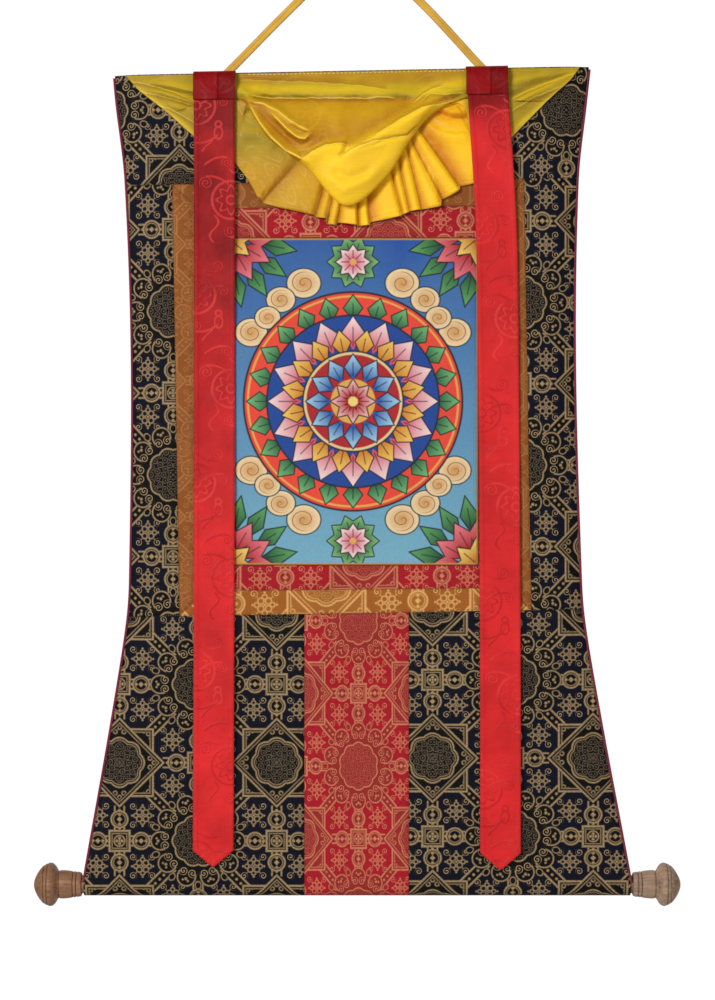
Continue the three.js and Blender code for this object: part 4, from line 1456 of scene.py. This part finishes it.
def ribbon(side):
    """A ribbon with hemmed edges and a pointed end, with slow waves down its length."""
    rows = RIBBONS[side]
    tip = rows[0][0]
    head = rows[-1][0]
    swing = 0.7 if side == "left" else 2.3
    u, v = np.meshgrid(steps(RIBBON_WIDTH, 3), steps(head - tip, 4))
    end = tip + RIBBON_POINT * np.abs(2 * u - 1)
    z = lerp(end, head, v)
    x = smooth_value(rows, 1, z) + RIBBON_WIDTH * (u - 0.5)
    from_side = np.minimum(u, 1 - u) * RIBBON_WIDTH
    from_tip = (z - end) * 0.75
    from_edge = np.minimum(from_side, from_tip)
    hem = -0.45 * (smoothstep(from_edge, 0, 0.7) - smoothstep(from_edge, 4, 5.5))
    wave = 0.7 * np.sin(z / 37 + swing + 1.4 * (u - 0.5)) * smoothstep(from_tip, 0, 30)
    wave += 0.4 * np.sin(z / 13 + 3 * u + swing) * np.sin(z / 90)
    for level, depth in RIBBON_FOLDS[side]:
        wave = wave + depth * np.exp(-(((z - level) / 2.5) ** 2))
    y = smooth_value(rows, 2, z) + hem + wave * smoothstep(head - z, 0, 60)
    design = (u - 0.5 + (0 if side == "left" else 0.86), z / 44 + (0.3 if side == "left" else 0.9))
    # Painted light and shade: a painted shadow below the tab, the left ribbon painted darker at the top and
    # lighter lower down, and lighter and darker along its waves
    tab_shadow = 1 - smoothstep(head - z, 20, 62)
    base = 0.12 + 0.63 * smoothstep(-z, 230, 700) if side == "left" else 0.74
    tone = np.clip(base - 0.9 * tab_shadow + 0.12 * wave, 0, 1)
    return closed_sheet(
        f"ribbon_silk_{side}",
        np.stack([x, y, z], axis=-1),
        RIBBON_CLOTH,
        np.stack(design, axis=-1),
        [ribbon_material],
        edge=from_edge * MM,
        tone=tone,
    )


ribbon_material = silk(
    "ribbon_damask",
    (linear(128, 6, 10), linear(128, 6, 10), linear(226, 38, 40), linear(226, 38, 40)),
    (linear(136, 8, 14), linear(226, 58, 56)),
    0.5,
    0.6,
    0.35,
    0.14,
)
for side_name in RIBBONS:
    ribbon(side_name)

# The tabs over the top edge: their section, depth and height from that edge, and the lap in their front
TAB_WIDTH = 46
TAB_LAP = 1.4
TAB_LAP_AT = 0.6
TAB_SECTION = [
    (-14.2, -31),
    (-14, -18),
    (-13.5, -8),
    (-9.5, -1),
    (-2, 0.9),
    (3, 0.4),
    (4.4, -4),
    (4.2, -28),
]


def tab(side):
    """A tab folded over the top edge, its front made of two laps that meet in an upright line."""
    section = np.array([(0, depth, height) for depth, height in TAB_SECTION], dtype=float)
    line_up = thread_curve(section, np.linspace(0, len(section) - 1, 57))
    length = np.concatenate([[0], np.cumsum(np.linalg.norm(np.diff(line_up, axis=0), axis=1))])
    across = np.unique(np.concatenate([steps(TAB_WIDTH, 2), TAB_LAP_AT + np.linspace(-0.05, 0.02, 8)]))
    u, depth = np.meshgrid(across, line_up[:, 1])
    height = line_up[:, 2:3]
    from_head = length[:, None] + 0 * u
    x = RIBBONS[side][-1][1] + TAB_WIDTH * (u - 0.5)
    in_front = smoothstep(-depth, 8, 12)
    y = depth - TAB_LAP * in_front * (1 - smoothstep(u, TAB_LAP_AT - 0.03, TAB_LAP_AT))
    y = y + 0.5 * in_front * np.sin(7 * u + height / 6) * smoothstep(np.minimum(u, 1 - u), 0, 0.2)
    from_side = np.minimum(u, 1 - u) * TAB_WIDTH
    from_lap = np.abs(u - TAB_LAP_AT + 0.012) * TAB_WIDTH
    edge = np.minimum(np.minimum(from_side, from_head), from_lap) * MM
    # Painted shade: the right lap, which lies behind the left one, is painted darker, and the silk's edge
    # shade runs along the lap line
    return closed_sheet(
        f"tab_silk_{side}",
        np.stack([x, y, height + top_edge(x)], axis=-1),
        RIBBON_CLOTH,
        np.stack([u - 0.2, from_head / 44 + 2.9], axis=-1),
        [tab_material],
        edge=edge,
        tone=0.3 - 0.2 * (u > TAB_LAP_AT),
    )


tab_material = silk(
    "tab_damask",
    (linear(104, 4, 8), linear(104, 4, 8), linear(190, 20, 26), linear(190, 20, 26)),
    (linear(98, 4, 8), linear(184, 32, 36)),
    0.16,
    0.5,
    0.15,
    0.1,
)
for side_name in RIBBONS:
    tab(side_name)


def tube(name, path, radius, sides, material):
    """A round piping along a path."""
    along = np.gradient(path, axis=0)
    along /= np.linalg.norm(along, axis=1, keepdims=True)
    back = np.array((0.0, 1.0, 0.0))
    aside = np.cross(back, along)
    aside /= np.linalg.norm(aside, axis=1, keepdims=True)
    lift = np.cross(along, aside)
    turns = np.arange(sides) * math.tau / sides
    ring = aside[:, None] * np.cos(turns)[None, :, None] + lift[:, None] * np.sin(turns)[None, :, None]
    vertices = (path[:, None] + ring * radius).reshape(-1, 3)
    return add_piece(name, ring_mesh(name, vertices, ring_faces(len(path), sides), material, 60))


piping_material = plain_cloth("piping_cloth", linear(92, 16, 36), linear(150, 44, 70), 0.0012, 0.2)
for side_name, edge_of, outward in (("left", left_edge, -1), ("right", right_edge, 1)):
    highest_level = top_edge(edge_of(TOP_LEVEL)) - 3
    levels = np.linspace(ROD_LEVEL + 4, highest_level, 240)
    route = []
    for level in levels:
        within = edge_of(level) - outward * EDGE_ROOM
        route.append((edge_of(level) - outward * (PIPING_RADIUS + 0.5), drape(within, level), level))
    piping = tube(f"piping_cord_{side_name}", np.array(route), PIPING_RADIUS, 10, piping_material)
    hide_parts(f"piping_{side_name}")

# The row of stitches that holds the veil to the top edge
STITCH_STEP = 4.6
STITCH_LENGTH = 3.0
STITCH_DROP = 3.0
thread_material = plain_cloth("sewing_thread", linear(214, 196, 130), linear(244, 232, 180), 0.0008)


def stitches():
    vertices = []
    faces = []
    sides = 6
    rings = ((-0.5, 0.45), (-0.38, 0.9), (0, 1), (0.38, 0.9), (0.5, 0.45))
    sewn_depth = -MOUNT_CLOTH / 2 - GAP - VEIL_CLOTH - 0.15
    for x in np.arange(-118, 118, STITCH_STEP):
        base = len(vertices)
        for share, girth in rings:
            for i in range(sides):
                angle = math.tau * i / sides
                px = x + share * STITCH_LENGTH
                z = top_edge(px) - STITCH_DROP + 0.5 * girth * math.sin(angle) + 0.1 * math.sin(x)
                vertices.append((px, sewn_depth - 0.4 - 0.45 * girth * math.cos(angle) + abs(share) * 0.9, z))
        faces += ring_faces(len(rings), sides, base)
    mesh = ring_mesh("veil_stitches", vertices, faces, thread_material)
    piece = add_piece("veil_stitches", mesh)


stitches()

# The turned knobs: the radius along the length from the cloth
KNOB_SOCKET = 16
KNOB_PROFILE = [
    (0, 12.4), (0.8, 13), (4.8, 13.7), (5.4, 13), (6, 13.8), (8.6, 14.1), (9.2, 13.4),
    (9.8, 14.2), (23.6, 15.4), (24.4, 14.6), (26.2, 16.2), (28, 19.4), (30, 21.9), (32.4, 23.4),
    (34.6, 23.8), (36.4, 23.3), (37, 22.5), (37.6, 22.8), (40.4, 21.5), (41, 20.6), (41.6, 20.8),
    (45, 17.6), (48, 13.4), (50.6, 8.6), (52.2, 4.2), (52.8, 0.4),
]
KNOB_GROOVES = (5.4, 9.2, 24.4, 37, 41)
KNOB_SIDES = 72


def knob(side, start, outward, material):
    """A turned knob, its outline rounded between the turned steps."""
    profile = np.array([(a, 0, r) for a, r in KNOB_PROFILE], dtype=float)
    outline = thread_curve(profile, np.linspace(0, len(profile) - 1, (len(profile) - 1) * 5 + 1))
    bore = ROD_RADIUS + 0.6
    socket = [(KNOB_SOCKET, 0.4), (KNOB_SOCKET, bore), (0.6, bore), (0, bore + 0.6)]
    rings = socket + [(a, max(r, 0.3)) for a, _, r in outline]
    vertices = []
    groove = []
    for along, radius in rings:
        for i in range(KNOB_SIDES):
            angle = math.tau * i / KNOB_SIDES
            y = HEM_RADIUS + radius * math.cos(angle)
            z = ROD_LEVEL + radius * math.sin(angle)
            vertices.append((start + outward * along, y, z))
            groove.append(max(math.exp(-(((along - g) / 0.45) ** 2)) for g in KNOB_GROOVES))
    faces = ring_faces(len(rings), KNOB_SIDES)
    if outward < 0:
        faces = [face[::-1] for face in faces]
    mesh = ring_mesh(f"knob_turned_{side}", vertices, faces, material, 40)
    mesh.attributes.new("groove", "FLOAT", "POINT").data.foreach_set("value", groove)
    piece = add_piece(f"knob_turned_{side}", mesh)
    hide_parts(f"knob_{side}")


wood_left = wood("wood_brown", linear(86, 52, 32), linear(172, 124, 88))
wood_right = wood("wood_pale", linear(98, 70, 54), linear(198, 164, 136))
knob("left", left_edge(ROD_LEVEL) - GAP, -1, wood_left)
knob("right", right_edge(ROD_LEVEL) + GAP, 1, wood_right)
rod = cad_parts["rod"]
rod.data.materials.clear()
rod.data.materials.append(wood_left)

# What each cloth was cut to, and how it is held
CUTS = {
    # flat width, flat length, area share of that rectangle, held, what it hangs from or lies on, slot
    "panel_top": (0.53, 0.15, 0.97, "hung", ["cord"], "navy_brocade"),
    "panel_side_left": (0.068, 0.478, 0.81, "hung", ["panel_top"], "navy_brocade"),
    "panel_side_right": (0.068, 0.478, 0.83, "hung", ["panel_top"], "navy_brocade"),
    "panel_lower_left": (0.246, 0.364, 0.93, "hung", ["border_gold_bottom"], "navy_brocade"),
    "panel_door": (0.115, 0.364, 1.0, "hung", ["border_gold_bottom"], "red_brocade"),
    "panel_lower_right": (0.25, 0.364, 0.93, "hung", ["border_gold_bottom"], "navy_brocade"),
    "border_gold_bottom": (0.387, 0.028, 0.93, "stretched", ["panel_lower_left"], "gold_brocade"),
    "border_gold_top": (0.387, 0.028, 0.93, "stretched", ["panel_top"], "gold_brocade"),
    "border_gold_left": (0.028, 0.475, 0.93, "stretched", ["panel_side_left"], "gold_brocade"),
    "border_gold_right": (0.028, 0.475, 0.93, "stretched", ["panel_side_right"], "gold_brocade"),
    "border_red_bottom": (0.333, 0.027, 0.92, "stretched", ["border_gold_bottom"], "red_brocade"),
    "border_red_top": (0.333, 0.034, 0.92, "stretched", ["border_gold_top"], "red_brocade"),
    "border_red_left": (0.029, 0.4205, 0.92, "stretched", ["border_gold_left"], "red_brocade"),
    "border_red_right": (0.029, 0.4205, 0.92, "stretched", ["border_gold_right"], "red_brocade"),
    "canvas": (0.277, 0.361, 1.0, "stretched", ["border_red_top"], "painted_canvas"),
    "veil": (0.5, 0.36, 0.46, "gathered", ["panel_top"], "yellow_silk"),
    "ribbon_left": (0.044, 0.87, 0.98, "hung", ["tab_left"], "red_silk"),
    "ribbon_right": (0.044, 0.88, 0.98, "hung", ["tab_right"], "red_silk"),
    "tab_left": (0.046, 0.09, 1.0, "folded", ["panel_top"], "red_silk"),
    "tab_right": (0.046, 0.09, 1.0, "folded", ["panel_top"], "red_silk"),
}
for node, (width, length, share, held, on, slot) in CUTS.items():
    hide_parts(node)
    share * width * length

# A pale floor and a white backdrop far behind, soft light from the front
FLOOR_LEVEL = -1.6
FLOOR_RADIUS = 1.2


def stage_plane(name, corners, material):
    mesh = bpy.data.meshes.new(name)
    mesh.from_pydata(corners, [], [tuple(range(len(corners)))])
    mesh.materials.append(material)
    plane = bpy.data.objects.new(name, mesh)
    bpy.context.scene.collection.objects.link(plane)


floor_finish = Finish("floor_paper", roughness=0.9)
floor_finish.shader.inputs["Base Color"].default_value = (0.8, 0.8, 0.79, 1)
ring = [
    (FLOOR_RADIUS * math.cos(math.tau * i / 96), FLOOR_RADIUS * math.sin(math.tau * i / 96), FLOOR_LEVEL)
    for i in range(96)
]
stage_plane("floor", ring, floor_finish.material)
backdrop_finish = Finish("backdrop_paper", roughness=0.9)
backdrop_finish.shader.inputs["Base Color"].default_value = (0, 0, 0, 1)
backdrop_finish.shader.inputs["Emission Color"].default_value = (1, 1, 1, 1)
backdrop_finish.shader.inputs["Emission Strength"].default_value = 1.0
stage_plane("backdrop", [(-3, 4, -4), (3, 4, -4), (3, 4, 3), (-3, 4, 3)], backdrop_finish.material)

world = bpy.data.worlds.new("studio")
bpy.context.scene.world = world
world.use_nodes = True
world.node_tree.nodes["Background"].inputs["Color"].default_value = (1, 1, 1, 1)
world.node_tree.nodes["Background"].inputs["Strength"].default_value = 0.24


def area_light(name, place, target, size, power):
    data = bpy.data.lights.new(name, "AREA")
    data.size = size
    data.energy = power
    light = bpy.data.objects.new(name, data)
    light.location = place
    aim = np.array(target) - np.array(place)
    light.rotation_euler = (math.atan2(math.hypot(aim[0], aim[1]), -aim[2]), 0, math.atan2(-aim[0], aim[1]))
    bpy.context.scene.collection.objects.link(light)


area_light("key", (-1.7, -3.4, 0.3), (0, 0, -0.5), 1.2, 114)
area_light("fill", (1.6, -2.4, -0.6), (0, 0, -0.6), 1.8, 16)
bpy.context.scene.view_settings.view_transform = "Standard"
